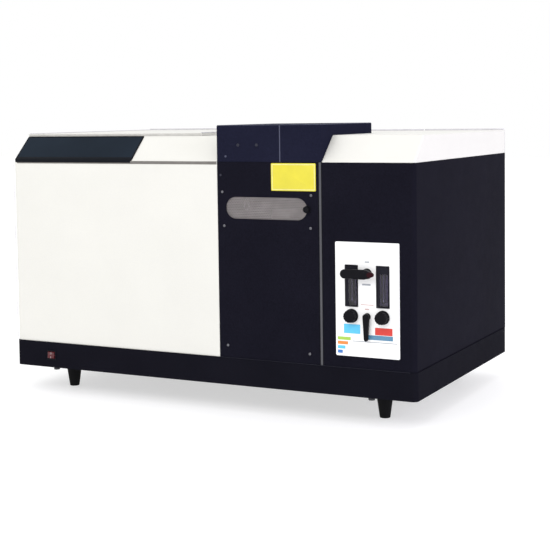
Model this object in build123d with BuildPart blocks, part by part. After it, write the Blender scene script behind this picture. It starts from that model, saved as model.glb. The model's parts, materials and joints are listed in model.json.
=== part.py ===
from build123d import *
import math
import os

# Atomic absorption spectrometer, a floor-to-lid bench instrument, in millimetres.
# X runs to the right, Y to the rear, Z up. The origin is on the bench under the cabinet's middle.

os.makedirs("parts", exist_ok=True)

# Cabinet
cabinet_width = 1000
cabinet_depth = 610
wall_height = 423
left_share = 0.549
bay_share = 0.2475
left_width = cabinet_width * left_share
bay_width = cabinet_width * bay_share
slope_rise = 55
slope_run = 58
hood_rise = 23
hood_depth = 269
sheet = 2
corner_radius = 10
roof_edge_radius = 5
flange = 15
seam = 0.5
fit_gap = 0.3
running_gap = 0.06
cover_bevel = 1
lobe_flat_share = 0.56
round_sides = 16
overrun = 20

# Base
base_height = 59
base_lip = 2
tray_floor = 3
tray_corner = 12
foot_height = 58
foot_top_radius = 18
foot_bottom_radius = 11.5
foot_inset_x = 101
foot_inset_y = 83

# Levels and edges that the sizes above give
left_x = -cabinet_width / 2
right_x = cabinet_width / 2
bay_left = left_x + left_width
bay_right = bay_left + bay_width
front_y = -cabinet_depth / 2
rear_y = cabinet_depth / 2
ridge_y = front_y + slope_run
base_bottom = foot_height
base_top = base_bottom + base_height
shoulder = base_top + wall_height
deck = shoulder + slope_rise
hood_top = deck + hood_rise
hood_rear = front_y + hood_depth


def middle(span):
    """The middle of a pair of coordinates."""
    return (span[0] + span[1]) / 2


def length(span):
    """The distance between a pair of coordinates."""
    return span[1] - span[0]


def block(x_span, y_span, z_span, mode=Mode.ADD):
    """A square-edged block between three pairs of coordinates."""
    with Locations((middle(x_span), middle(y_span), middle(z_span))):
        Box(length(x_span), length(y_span), length(z_span), mode=mode)


def facing_front(y):
    """A plane at y whose X is the cabinet's X and whose Y points up; it faces the front."""
    return Plane.XZ.offset(-y)


def facing_right(x):
    """A plane at x whose X points to the rear and whose Y points up; it faces the right."""
    return Plane.YZ.offset(x)


def grip_outline(centre, radius, depth, lobes):
    """Points round a grip's edge: a flat-topped lobe, then a notch of the given depth."""
    points = []
    for lobe in range(lobes):
        for share, drop in ((-lobe_flat_share / 2, 0), (lobe_flat_share / 2, 0), (1 / 2, depth)):
            angle = 2 * math.pi * (lobe + share) / lobes
            reach = radius - drop
            points.append(
                (centre[0] + reach * math.cos(angle), centre[1] + reach * math.sin(angle))
            )
    return points


def keep(piece, name):
    """Labels a finished piece and writes it out."""
    piece.label = name
    export_step(piece, f"parts/{name}.step")


# Base tray: a folded pan with a rocker opening in front and cooling slots in its floor
rocker_width = 18.7
rocker_height = 17
rocker_inset_x = 99.35
rocker_rise = 28.8
rocker_x = left_x + rocker_inset_x
rocker_z = base_bottom + rocker_rise
rocker_frame_wall = 1.6
floor_slot_length = 90
floor_slot_width = 6
floor_slot_pitch = 16
floor_slot_count = 6

with BuildPart() as base_tray:
    with BuildSketch(Plane.XY.offset(base_bottom)):
        RectangleRounded(cabinet_width + 2 * base_lip, cabinet_depth + 2 * base_lip, tray_corner)
    extrude(amount=base_height)
    with BuildSketch(Plane.XY.offset(base_bottom + tray_floor)):
        RectangleRounded(cabinet_width, cabinet_depth, tray_corner - base_lip)
    extrude(amount=base_height, mode=Mode.SUBTRACT)
    with BuildSketch(facing_front(front_y - base_lip)):
        with Locations((rocker_x, rocker_z)):
            Rectangle(rocker_width + 2 * rocker_frame_wall, rocker_height + 2 * rocker_frame_wall)
    extrude(amount=-2 * base_lip, mode=Mode.SUBTRACT)
    with BuildSketch(Plane.XY.offset(base_bottom)):
        with GridLocations(0, floor_slot_pitch, 1, floor_slot_count):
            Rectangle(floor_slot_length, floor_slot_width)
    extrude(amount=tray_floor, mode=Mode.SUBTRACT)
keep(base_tray.part, "base_tray")

# Feet: a long taper from the tray down to a flat sole
foot_span_x = cabinet_width - 2 * foot_inset_x
foot_span_y = cabinet_depth - 2 * foot_inset_y
foot_taper = math.degrees(math.atan((foot_top_radius - foot_bottom_radius) / foot_height))
with BuildPart() as feet:
    with BuildSketch(Plane.XY.offset(base_bottom)):
        with GridLocations(foot_span_x, foot_span_y, 2, 2):
            RegularPolygon(foot_top_radius, round_sides)
    extrude(amount=-foot_height, taper=foot_taper)
keep(feet.part, "feet")

# Hexagon heads of the bolts that hold the deck's legs to the tray
bolt_head_across = 13
bolt_head_height = 7
bolt_inset_x = 103
bolt_inset_y = 13
with BuildPart() as base_bolts:
    with BuildSketch(Plane.XY.offset(base_bottom)):
        with GridLocations(cabinet_width - 2 * bolt_inset_x, cabinet_depth - 2 * bolt_inset_y, 2, 2):
            RegularPolygon(bolt_head_across / 2, 6, major_radius=False)
    extrude(amount=-bolt_head_height)
keep(base_bolts.part, "base_bolts")

# Chassis deck: the plate that everything stands on, carried by two Z-shaped legs on the tray's floor
deck_plate = 3
deck_under = base_top - deck_plate
leg_foot = 3
leg_wall = 3
leg_inset_y = 35
leg_foot_width = 30
cable_hole_width = 120
cable_hole_depth = 60
deck_x = cabinet_width / 2 - fit_gap
leg_y = rear_y - leg_inset_y
tray_floor_top = base_bottom + tray_floor

with BuildPart() as chassis_deck:
    with BuildSketch(Plane.XY.offset(deck_under)):
        RectangleRounded(
            cabinet_width - 2 * fit_gap, cabinet_depth - 2 * fit_gap, tray_corner - base_lip
        )
    extrude(amount=deck_plate)
    for side in (-1, 1):
        leg_span = sorted((side * leg_y, side * (leg_y - leg_wall)))
        sole_span = sorted((side * (leg_y - leg_wall), side * (leg_y - leg_wall + leg_foot_width)))
        long_span = (-deck_x + flange, deck_x - flange)
        block(long_span, leg_span, (tray_floor_top, deck_under))
        block(long_span, sole_span, (tray_floor_top, tray_floor_top + leg_foot))
    with BuildSketch(Plane.XY.offset(base_top)):
        with GridLocations(cabinet_width / 2, 0, 2, 1):
            Rectangle(cable_hole_width, cable_hole_depth)
    extrude(amount=-2 * deck_plate, mode=Mode.SUBTRACT)
keep(chassis_deck.part, "chassis_deck")


# Corner shells: a front and a side wall bent from one sheet, flanged above and below
def corner_shell(x_span, outer):
    """A wall shell over x_span whose side wall is at its low end (outer -1) or high end (1)."""
    outer_x = x_span[0] if outer < 0 else x_span[1]
    inner_x = x_span[1] if outer < 0 else x_span[0]
    with BuildPart() as shell:
        block(x_span, (front_y, rear_y), (base_top, shoulder))
        corner = shell.edges().filter_by(Axis.Z).group_by(Axis.Y)[0].sort_by(Axis.X)
        fillet(corner[0] if outer < 0 else corner[-1], corner_radius)
        inner_face = shell.faces().sort_by(Axis.X)[-1 if outer < 0 else 0]
        rear_face = shell.faces().sort_by(Axis.Y)[-1]
        offset(amount=-sheet, openings=[inner_face, rear_face], kind=Kind.INTERSECTION)
        hollow_x = sorted((outer_x - outer * flange, inner_x - outer * overrun))
        block(hollow_x, (front_y + flange, rear_y + overrun), (base_top, shoulder), Mode.SUBTRACT)
        notch_x = sorted((inner_x, inner_x + outer * (sheet + fit_gap)))
        block(notch_x, (front_y + sheet, front_y + flange), (base_top, shoulder), Mode.SUBTRACT)
        seat_x = sorted((outer_x - outer * sheet, outer_x - outer * flange))
        block(seat_x, (rear_y - sheet - fit_gap, rear_y), (base_top, shoulder), Mode.SUBTRACT)
    return shell.part


left_shell = corner_shell((left_x, bay_left), -1)
keep(left_shell, "left_shell")

# Control plate and the opening behind it
fascia_width = 140.5
fascia_height = 236
fascia_thickness = 2
fascia_corner = 3
fascia_lap = 7
fascia_shift = 1.95
fascia_rise = 143
valve_drop = 34
fascia_x = middle((bay_right, right_x)) - fascia_shift
fascia_z = base_top + fascia_rise
valve_z = fascia_z - valve_drop
fascia_face = front_y - fascia_thickness
fascia_opening_width = fascia_width - 2 * fascia_lap
fascia_opening_height = fascia_height - 2 * fascia_lap

with BuildPart() as right_shell:
    add(corner_shell((bay_right, right_x), 1))
    with BuildSketch(facing_front(front_y)):
        with Locations((fascia_x, fascia_z)):
            Rectangle(fascia_opening_width, fascia_opening_height)
    extrude(amount=-2 * sheet, mode=Mode.SUBTRACT)
keep(right_shell.part, "right_shell")

# Rear panels: an upper one with louvre slots and the fan's grille, a lower one with the sockets
rear_inner = rear_y - sheet
socket_panel_height = 90
rear_seam = base_top + socket_panel_height
fan_size = 120
fan_depth = 25
fan_bore_radius = 56
fan_inset_x = 130
fan_rise = 300
fan_x = left_x + fan_inset_x
fan_z = base_top + fan_rise
grille_slot_width = 7
grille_pitch = 14
grille_rows = 7
louvre_length = 96
louvre_width = 6
louvre_pitch_x = 112
louvre_pitch_z = 18
louvre_columns = 3
louvre_rows = 6
louvre_inset_x = 400
louvre_rise = 320
inlet_inset_x = 110
inlet_rise = 60
inlet_x = left_x + inlet_inset_x
inlet_z = base_top + inlet_rise
inlet_body_width = 27.6
inlet_body_height = 20
port_inset_x = 230
port_x = left_x + port_inset_x
port_width = 20
port_height = 10

side_x = cabinet_width / 2 - sheet - fit_gap
with BuildPart() as rear_panel:
    block((-side_x, side_x), (rear_inner, rear_y), (rear_seam, shoulder))
    with BuildSketch(facing_front(rear_inner)):
        for row in range(grille_rows):
            rise = (row - (grille_rows - 1) / 2) * grille_pitch
            reach = math.sqrt(fan_bore_radius**2 - rise**2)
            with Locations((fan_x, fan_z + rise)):
                Rectangle(2 * reach, grille_slot_width)
        with Locations((left_x + louvre_inset_x, base_top + louvre_rise)):
            with GridLocations(louvre_pitch_x, louvre_pitch_z, louvre_columns, louvre_rows):
                Rectangle(louvre_length, louvre_width)
    extrude(amount=-sheet, mode=Mode.SUBTRACT)
keep(rear_panel.part, "rear_panel")

with BuildPart() as socket_panel:
    block((-side_x, side_x), (rear_inner, rear_y), (base_top, rear_seam))
    with BuildSketch(facing_front(rear_inner)):
        with Locations((inlet_x, inlet_z)):
            Rectangle(inlet_body_width + fit_gap, inlet_body_height + fit_gap)
        with Locations((port_x, inlet_z)):
            Rectangle(port_width + fit_gap, port_height + fit_gap)
    extrude(amount=-sheet, mode=Mode.SUBTRACT)
keep(socket_panel.part, "socket_panel")


# Roofs: covers with a sloped front and folded ends
def roof_form(x_span, outer, inset, drop):
    """The solid under a roof's skin, inset from it and carried down by drop below the shoulder."""
    drop_y = front_y - drop * slope_run / slope_rise
    with BuildPart() as form:
        with BuildSketch(facing_right(x_span[0] + inset)):
            with BuildLine():
                Polyline(
                    (drop_y, shoulder - drop),
                    (ridge_y, deck),
                    (rear_y, deck),
                    (rear_y, shoulder - drop),
                    close=True,
                )
            make_face()
            offset(amount=-inset, kind=Kind.INTERSECTION)
        extrude(amount=length(x_span) - 2 * inset)
        end_face = form.faces().sort_by(Axis.X)[0 if outer < 0 else -1]
        fillet(end_face.edges().group_by(Axis.Z)[1:], roof_edge_radius - inset)
    return form.part


def roof_cover(x_span, outer):
    """A roof over x_span, its rounded end at the low end (outer -1) or the high end (1)."""
    with BuildPart() as cover:
        add(roof_form(x_span, outer, 0, 0))
        add(roof_form(x_span, outer, sheet, overrun), mode=Mode.SUBTRACT)
    return cover.part


# Lamp lid and the opening under it
lid_inset = 2
lid_setback = 1
lid_right_gap = 71
lid_rear_gap = 15
lid_height = 6.2
lid_rim = 12
lid_wall = 1.5
lid_left = left_x + lid_inset
lid_right = bay_left - lid_right_gap
lid_front = ridge_y + lid_setback
lid_rear = rear_y - lid_rear_gap
lid_bottom = deck + fit_gap
lid_top = lid_bottom + lid_height
opening_x = (lid_left + lid_rim, lid_right - lid_rim)
opening_y = (lid_front + lid_rim, lid_rear - lid_rim)

# Tinted window on the left slope
slope_length = math.hypot(slope_run, slope_rise)
window_inset = 5.5
window_width = 322.5
window_margin = 3
window_lap = 8
window_thickness = 1.5
window_middle = left_x + window_inset + window_width / 2
slope_plane = Plane(
    origin=(window_middle, front_y, shoulder), x_dir=(1, 0, 0), z_dir=(0, -slope_rise, slope_run)
)

with BuildPart() as left_roof:
    add(roof_cover((left_x, bay_left), -1))
    block(opening_x, opening_y, (deck - 2 * sheet, deck + overrun), Mode.SUBTRACT)
    with BuildSketch(slope_plane):
        with Locations((0, slope_length / 2)):
            Rectangle(
                window_width - 2 * window_lap, slope_length - 2 * (window_margin + window_lap)
            )
    extrude(amount=-2 * sheet, mode=Mode.SUBTRACT)
keep(left_roof.part, "left_roof")

with BuildPart() as slope_window:
    with BuildSketch(slope_plane):
        with Locations((0, slope_length / 2)):
            Rectangle(window_width, slope_length - 2 * window_margin)
    extrude(amount=window_thickness)
keep(slope_window.part, "slope_window")

right_roof = roof_cover((bay_right, right_x), 1)
keep(right_roof, "right_roof")

with BuildPart() as bay_roof:
    block((bay_left + seam, bay_right - seam), (hood_rear + 2 * seam, rear_y), (shoulder, deck))
    offset(amount=-sheet, openings=bay_roof.faces().sort_by(Axis.Z)[0], kind=Kind.INTERSECTION)
    chamfer(bay_roof.faces().sort_by(Axis.Z)[-1].edges().filter_by(Axis.X), cover_bevel)
keep(bay_roof.part, "bay_roof")

# Hinges of the lid and the hood: two lugs with a pin on the roof, a long knuckle on the leaf
pin_radius = 2
knuckle_radius = 4
lug_width = 6
axis_rise = 5
axis_setback = 6.5
arm_thickness = 3
lid_knuckle = 320
hood_knuckle = 150
lug_height = axis_rise + knuckle_radius
lid_axis = (lid_rear + axis_setback, deck + axis_rise)
hood_axis = (hood_rear + axis_setback, deck + axis_rise)
lid_middle = middle((lid_left, lid_right))
bay_middle = bay_left + bay_width / 2

with BuildPart() as roof_hinges:
    for x, axis, knuckle in (
        (lid_middle, lid_axis, lid_knuckle),
        (bay_middle, hood_axis, hood_knuckle),
    ):
        with BuildSketch(Plane.XY.offset(deck)):
            with Locations((x, axis[0])):
                with GridLocations(knuckle + 2 * fit_gap + lug_width, 0, 2, 1):
                    Rectangle(lug_width, 2 * knuckle_radius)
        extrude(amount=lug_height)
        with BuildSketch(facing_right(x)):
            with Locations(axis):
                RegularPolygon(pin_radius, round_sides)
        extrude(amount=(knuckle + lug_width) / 2 + fit_gap, both=True)
keep(roof_hinges.part, "roof_hinges")


def knuckle_arm(x, axis, knuckle, leaf_y):
    """A bored knuckle on an arm that reaches forward to the leaf's rear wall at leaf_y."""
    with BuildPart() as arm:
        with BuildSketch(facing_right(x)):
            with Locations(axis):
                Circle(knuckle_radius)
            with Locations((middle((leaf_y, axis[0])), axis[1])):
                Rectangle(axis[0] - leaf_y, arm_thickness)
            with Locations(axis):
                Circle(pin_radius + running_gap, mode=Mode.SUBTRACT)
        extrude(amount=knuckle / 2, both=True)
    return arm.part


# Lamp lid: a top sheet with bevelled edges on a skirt, whose rear wall carries the knuckle
lid_under = lid_top - lid_wall
with BuildPart() as lamp_lid:
    block((lid_left, lid_right), (lid_front, lid_rear), (lid_under, lid_top))
    chamfer(lamp_lid.faces().sort_by(Axis.Z)[-1].edges(), cover_bevel)
keep(lamp_lid.part, "lamp_lid")

with BuildPart() as lid_skirt:
    block((lid_left, lid_right), (lid_front, lid_rear), (lid_bottom, lid_under))
    block(
        (lid_left + lid_wall, lid_right - lid_wall),
        (lid_front + lid_wall, lid_rear - lid_wall),
        (lid_bottom, lid_under),
        Mode.SUBTRACT,
    )
    add(knuckle_arm(lid_middle, lid_axis, lid_knuckle, lid_rear))
keep(lid_skirt.part, "lid_skirt")

# Burner hood: a deep cover over the burner bay with an exhaust grille in its top
hood_rear_clearance = 2
exhaust_slot_length = 130
exhaust_slot_width = 7
exhaust_pitch = 14
exhaust_rows = 8
flame_setback = 135
flame_y = front_y + flame_setback
hood_bottom = shoulder + seam
hood_left = bay_left + seam
hood_right = bay_right - seam

with BuildPart() as burner_hood:
    block((hood_left, hood_right), (front_y, hood_rear), (hood_bottom, hood_top))
    offset(amount=-sheet, openings=burner_hood.faces().sort_by(Axis.Z)[0], kind=Kind.INTERSECTION)
    chamfer(burner_hood.faces().sort_by(Axis.Z)[-1].edges(), cover_bevel)
    rear_cut_x = (hood_left + sheet, hood_right - sheet)
    rear_cut_z = (hood_bottom, deck + hood_rear_clearance)
    block(rear_cut_x, (hood_rear - sheet, hood_rear), rear_cut_z, Mode.SUBTRACT)
    with BuildSketch(Plane.XY.offset(hood_top)):
        with Locations((bay_middle, flame_y)):
            with GridLocations(0, exhaust_pitch, 1, exhaust_rows):
                Rectangle(exhaust_slot_length, exhaust_slot_width)
    extrude(amount=-2 * sheet, mode=Mode.SUBTRACT)
    add(knuckle_arm(bay_middle, hood_axis, hood_knuckle, hood_rear - sheet / 2))
keep(burner_hood.part, "burner_hood")

# Burner panel: a flanged black pan with the round-ended window
slot_left_margin = 20.35
slot_right_margin = 34.45
slot_height = 46.5
slot_drop = 98
slot_length = bay_width - slot_left_margin - slot_right_margin
slot_x = bay_left + slot_left_margin + slot_length / 2
slot_z = shoulder - slot_drop
strip_width = 8
strip_web = 12
panel_flange = 12
knob_shift = 1
knob_radius = 8
knob_shaft_radius = 3
knob_x = slot_x + slot_length / 2 + knob_shift

with BuildPart() as burner_front_panel:
    panel_x = (bay_left + seam, bay_right - strip_width - seam)
    block(panel_x, (front_y, front_y + panel_flange), (base_top, shoulder))
    pan_back = burner_front_panel.faces().sort_by(Axis.Y)[-1]
    offset(amount=-sheet, openings=pan_back, kind=Kind.INTERSECTION)
    with BuildSketch(facing_front(front_y)):
        with Locations((slot_x, slot_z)):
            SlotOverall(slot_length, slot_height)
        with Locations((knob_x, slot_z)):
            Circle(knob_shaft_radius + fit_gap)
    extrude(amount=-sheet, mode=Mode.SUBTRACT)
keep(burner_front_panel.part, "burner_front_panel")

# Perforated plate behind the slot, its holes in staggered rows
mesh_margin = 10
mesh_rise = 37.5
mesh_drop = 43.5
mesh_thickness = 1.2
mesh_hole = 10.5
mesh_pitch = 15
mesh_rows = 3
mesh_columns = math.floor(slot_length / mesh_pitch) - 1
with BuildPart() as window_mesh:
    mesh_x = (slot_x - slot_length / 2 - mesh_margin, slot_x + slot_length / 2 + mesh_margin)
    mesh_y = (front_y + sheet, front_y + sheet + mesh_thickness)
    block(mesh_x, mesh_y, (slot_z - mesh_drop, slot_z + mesh_rise))
    with BuildSketch(facing_front(front_y + sheet)):
        with Locations((slot_x, slot_z)):
            with HexLocations(mesh_pitch / 2, mesh_columns, mesh_rows):
                RegularPolygon(mesh_hole / 2, 4)
    extrude(amount=-mesh_thickness, mode=Mode.SUBTRACT)
keep(window_mesh.part, "window_mesh")

# Round knob at the slot's right end, whose shaft ends at the plate
knob_depth = 9
knob_lobes = 8
knob_notch = 1.2
with BuildPart() as mesh_knob:
    with BuildSketch(facing_front(front_y - fit_gap)):
        with BuildLine():
            Polyline(*grip_outline((knob_x, slot_z), knob_radius, knob_notch, knob_lobes), close=True)
        make_face()
    extrude(amount=knob_depth)
    with BuildSketch(facing_front(front_y - fit_gap)):
        with Locations((knob_x, slot_z)):
            RegularPolygon(knob_shaft_radius, round_sides)
    extrude(amount=-sheet)
keep(mesh_knob.part, "mesh_knob")

# Bare metal strip between the burner panel and the right shell, an L in section
with BuildPart() as bay_trim_strip:
    strip_x = (bay_right - strip_width, bay_right - fit_gap)
    block(strip_x, (front_y, front_y + sheet), (base_top, shoulder))
    block((strip_x[1] - sheet, strip_x[1]), (front_y, front_y + strip_web), (base_top, shoulder))
keep(bay_trim_strip.part, "bay_trim_strip")

# Bay walls, each with the port that the light passes through
beam_drop = 100
beam_z = shoulder - beam_drop
port_radius = 17
wall_y = (front_y + sheet + fit_gap, rear_inner - fit_gap)
with BuildPart() as bay_walls:
    for wall_x in ((bay_left - sheet, bay_left), (bay_right, bay_right + sheet)):
        block(wall_x, wall_y, (base_top, shoulder))
        with BuildSketch(facing_right(wall_x[0])):
            with Locations((flame_y, beam_z)):
                RegularPolygon(port_radius, round_sides)
        extrude(amount=sheet, mode=Mode.SUBTRACT)
keep(bay_walls.part, "bay_walls")

# Flowmeters: a clear block with a bore in a dark frame, and a float in each bore
flow_spacing = 68.9
flow_left_x = fascia_x - flow_spacing / 2
flow_right_x = fascia_x + flow_spacing / 2
flow_width = 28.7
flow_height = 86
flow_rise = 28
flow_z = fascia_z + flow_rise
flow_frame_wall = 3
flow_frame_stand = 4
flow_frame_depth = 16
flow_block_depth = 20
flow_block_inset = 1
bore_radius = 3.6
bore_end = 7
float_radius = 3.2
float_height = 9
float_sides = 8
float_bevel = 1.8
bore_height = flow_height - 2 * flow_frame_wall - 2 * bore_end
bore_bottom = flow_z - bore_height / 2
flow_block_front = front_y - flow_frame_stand + flow_block_inset
bore_y = flow_block_front + flow_block_depth / 3
flow_places = {"left": flow_left_x, "right": flow_right_x}

with BuildPart() as flowmeter_frames:
    with BuildSketch(facing_front(front_y - flow_frame_stand)):
        with Locations(*[(x, flow_z) for x in flow_places.values()]):
            Rectangle(flow_width, flow_height)
            Rectangle(
                flow_width - 2 * flow_frame_wall,
                flow_height - 2 * flow_frame_wall,
                mode=Mode.SUBTRACT,
            )
    extrude(amount=-flow_frame_depth)
keep(flowmeter_frames.part, "flowmeter_frames")

with BuildPart() as flowmeter_tubes:
    with BuildSketch(facing_front(flow_block_front)):
        with Locations(*[(x, flow_z) for x in flow_places.values()]):
            Rectangle(flow_width - 2 * flow_frame_wall, flow_height - 2 * flow_frame_wall)
    extrude(amount=-flow_block_depth)
    with BuildSketch(Plane.XY.offset(bore_bottom)):
        with Locations(*[(x, bore_y) for x in flow_places.values()]):
            Circle(bore_radius)
    extrude(amount=bore_height, mode=Mode.SUBTRACT)
keep(flowmeter_tubes.part, "flowmeter_tubes")

for side, x in flow_places.items():
    with BuildPart() as float_piece:
        with BuildSketch(Plane.XY.offset(bore_bottom + fit_gap)):
            with Locations((x, bore_y)):
                RegularPolygon(float_radius, float_sides)
        extrude(amount=float_height)
        chamfer(float_piece.faces().sort_by(Axis.Z)[0].edges(), float_bevel)
    keep(float_piece.part, f"float_{side}")

# Valve block behind the control plate, with square stand-offs that meet the plate's back
lever_rise = 54
lever_x = fascia_x
lever_z = fascia_z + lever_rise
block_width = 104
block_setback = 30
block_depth = 28
block_drop = 22
block_rise = 34
standoff = 10
stem_radius = 3
spindle_radius = 4
stem_depth = 14
block_x = (fascia_x - block_width / 2, fascia_x + block_width / 2)
block_y = (front_y + block_setback, front_y + block_setback + block_depth)
block_z = (valve_z - block_drop, lever_z + block_rise)
valve_stems = [(flow_left_x, valve_z), (flow_right_x, valve_z)]
valve_spindles = [(lever_x, lever_z), (lever_x, valve_z)]

with BuildPart() as valve_block:
    block(block_x, block_y, block_z)
    with BuildSketch(facing_front(block_y[0])):
        with Locations((middle(block_x), middle(block_z))):
            with GridLocations(length(block_x) - standoff, length(block_z) - standoff, 2, 2):
                Rectangle(standoff, standoff)
    extrude(amount=block_y[0] - front_y)
    with BuildSketch(facing_front(block_y[0])):
        with Locations(*valve_stems):
            RegularPolygon(stem_radius + running_gap, round_sides, major_radius=False)
        with Locations(*valve_spindles):
            RegularPolygon(spindle_radius + running_gap, round_sides, major_radius=False)
    extrude(amount=-stem_depth - fit_gap, mode=Mode.SUBTRACT)
keep(valve_block.part, "valve_block")

with BuildPart() as gas_fascia:
    with BuildSketch(facing_front(front_y)):
        with Locations((fascia_x, fascia_z)):
            RectangleRounded(fascia_width, fascia_height, fascia_corner)
        with Locations(*[(x, flow_z) for x in flow_places.values()]):
            Rectangle(flow_width + fit_gap, flow_height + fit_gap, mode=Mode.SUBTRACT)
        with Locations(*valve_stems):
            RegularPolygon(stem_radius + fit_gap, round_sides, mode=Mode.SUBTRACT)
        with Locations(*valve_spindles):
            RegularPolygon(spindle_radius + fit_gap, round_sides, mode=Mode.SUBTRACT)
    extrude(amount=fascia_thickness)
keep(gas_fascia.part, "gas_fascia")

# Needle-valve knobs: scalloped, with their stems
needle_knob_radius = 14.5
needle_knob_depth = 17
scallop_depth = 1.6
scallop_count = 12
needle_knob_bevel = 1.5
stem_reach = block_y[0] + stem_depth - fascia_face + fit_gap
for side, x in flow_places.items():
    with BuildPart() as needle_knob:
        with BuildSketch(facing_front(fascia_face - fit_gap)):
            with BuildLine():
                grip = grip_outline((x, valve_z), needle_knob_radius, scallop_depth, scallop_count)
                Polyline(*grip, close=True)
            make_face()
        extrude(amount=needle_knob_depth)
        chamfer(needle_knob.faces().sort_by(Axis.Y)[0].edges(), needle_knob_bevel)
        with BuildSketch(facing_front(fascia_face - fit_gap)):
            with Locations((x, valve_z)):
                RegularPolygon(stem_radius, round_sides)
        extrude(amount=-stem_reach)
    keep(needle_knob.part, f"needle_knob_{side}")

# Levers: a rounded bar on a hub, with a spindle into the valve block
lever_hub_radius = 10
lever_hub_length = 12
lever_thickness = 9
lever_bevel = 1.5
gas_arm_reach = 42.5
gas_arm_radius = 9.5
gas_tail_reach = 16
gas_tail_radius = 4.5
mode_arm_reach = 45.5
mode_arm_radius = 4.5
mode_hub_radius = 7.5
mode_hub_length = 3


def lever(place, outline, hub_radius, hub_length):
    """A lever at place, its bar hulled over outline, a list of offset X, offset Z and radius."""
    with BuildPart() as piece:
        with BuildSketch(facing_front(fascia_face - hub_length)):
            for shift_x, shift_z, radius in outline:
                with Locations((place[0] + shift_x, place[1] + shift_z)):
                    Circle(radius)
            make_hull()
        extrude(amount=lever_thickness)
        chamfer(piece.faces().sort_by(Axis.Y)[0].edges(), lever_bevel)
        with BuildSketch(facing_front(fascia_face - fit_gap)):
            with Locations(place):
                RegularPolygon(hub_radius, round_sides)
        extrude(amount=hub_length)
        with BuildSketch(facing_front(fascia_face - fit_gap)):
            with Locations(place):
                RegularPolygon(spindle_radius, round_sides)
        extrude(amount=-stem_reach)
    return piece.part


gas_outline = [
    (-gas_arm_reach, 0, gas_arm_radius),
    (0, 0, lever_hub_radius),
    (gas_tail_reach, 0, gas_tail_radius),
]
keep(lever((lever_x, lever_z), gas_outline, lever_hub_radius, lever_hub_length), "gas_lever")
mode_outline = [(0, 0, mode_hub_radius), (0, -mode_arm_reach, mode_arm_radius)]
keep(lever((lever_x, valve_z), mode_outline, mode_hub_radius, mode_hub_length), "mode_lever")

# Power rocker: its rocking faces are cut from a drum about the pivot, so that it clears its frame
rocker_gap = 0.4
rocker_tilt = 8
rocker_drum = rocker_height / 2 - rocker_gap
rocker_face = 4
rocker_frame_stand = 1.5
rocker_frame_depth = 18
rocker_pivot_y = front_y - base_lip
pivot_radius = 1.5
pivot_length = 1.2

with BuildPart() as rocker_frame:
    outer_width = rocker_width + 2 * rocker_frame_wall
    outer_height = rocker_height + 2 * rocker_frame_wall
    with BuildSketch(facing_front(rocker_pivot_y)):
        with Locations((rocker_x, rocker_z)):
            Rectangle(outer_width + 2 * rocker_frame_wall, outer_height + 2 * rocker_frame_wall)
    extrude(amount=rocker_frame_stand)
    with BuildSketch(facing_front(rocker_pivot_y)):
        with Locations((rocker_x, rocker_z)):
            Rectangle(outer_width - 2 * rocker_gap, outer_height - 2 * rocker_gap)
    extrude(amount=-rocker_frame_depth)
    with BuildSketch(facing_front(rocker_pivot_y - rocker_frame_stand)):
        with Locations((rocker_x, rocker_z)):
            Rectangle(rocker_width, rocker_height)
    recess_depth = rocker_frame_depth + rocker_frame_stand - rocker_frame_wall
    extrude(amount=-recess_depth, mode=Mode.SUBTRACT)
    with BuildSketch(facing_right(rocker_x)):
        with Locations((rocker_pivot_y, rocker_z)):
            Circle(pivot_radius + running_gap)
    extrude(amount=rocker_width / 2 + pivot_length, both=True, mode=Mode.SUBTRACT)
keep(rocker_frame.part, "rocker_frame")

with BuildPart() as power_rocker:
    with BuildSketch(facing_right(rocker_x)):
        with Locations((rocker_pivot_y, rocker_z)):
            Circle(rocker_drum)
    extrude(amount=rocker_width / 2 - rocker_gap, both=True)
    for side in (-1, 1):
        cut_plane = Plane(
            origin=(rocker_x, rocker_pivot_y - rocker_face, rocker_z),
            x_dir=(1, 0, 0),
            z_dir=Vector(0, -1, 0).rotate(Axis.X, rocker_tilt * (side - 1)),
        )
        with BuildSketch(cut_plane):
            with Locations((0, side * rocker_height / 2)):
                Rectangle(rocker_width, rocker_height)
        extrude(amount=rocker_height, mode=Mode.SUBTRACT)
    with BuildSketch(facing_right(rocker_x)):
        with Locations((rocker_pivot_y, rocker_z)):
            RegularPolygon(pivot_radius, round_sides)
    extrude(amount=rocker_width / 2 + pivot_length - running_gap, both=True)
keep(power_rocker.part, "power_rocker")

# Optical benches: a plate on four square legs in the left block and a higher one in the right
bench_plate = 6
bench_leg = 20
bench_rise = 219
bench_top = base_top + bench_rise
bench_left_inset = 22
bench_right_inset = 20
bench_front_inset = 22
bench_depth = 408
bench_x = (left_x + bench_left_inset, bay_left - bench_right_inset)
bench_y = (front_y + bench_front_inset, front_y + bench_front_inset + bench_depth)
shelf_leg = 16
shelf_drop = 50
shelf_left_inset = 10
shelf_right_inset = 17
shelf_front_inset = 75
shelf_rear_inset = 43
shelf_top = beam_z - shelf_drop
shelf_x = (bay_right + shelf_left_inset, right_x - shelf_right_inset)
shelf_y = (front_y + shelf_front_inset, rear_y - shelf_rear_inset)


def bench(x_span, y_span, top, leg):
    """A plate whose top is at top, with a leg under each corner that stands on the deck."""
    block(x_span, y_span, (top - bench_plate, top))
    with BuildSketch(Plane.XY.offset(base_top)) as legs:
        with Locations((middle(x_span), middle(y_span))):
            with GridLocations(length(x_span) - leg, length(y_span) - leg, 2, 2):
                Rectangle(leg, leg)
    extrude(legs.sketch, amount=top - bench_plate - base_top)


with BuildPart() as optical_benches:
    bench(bench_x, bench_y, bench_top, bench_leg)
    bench(shelf_x, shelf_y, shelf_top, shelf_leg)
keep(optical_benches.part, "optical_benches")

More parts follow.
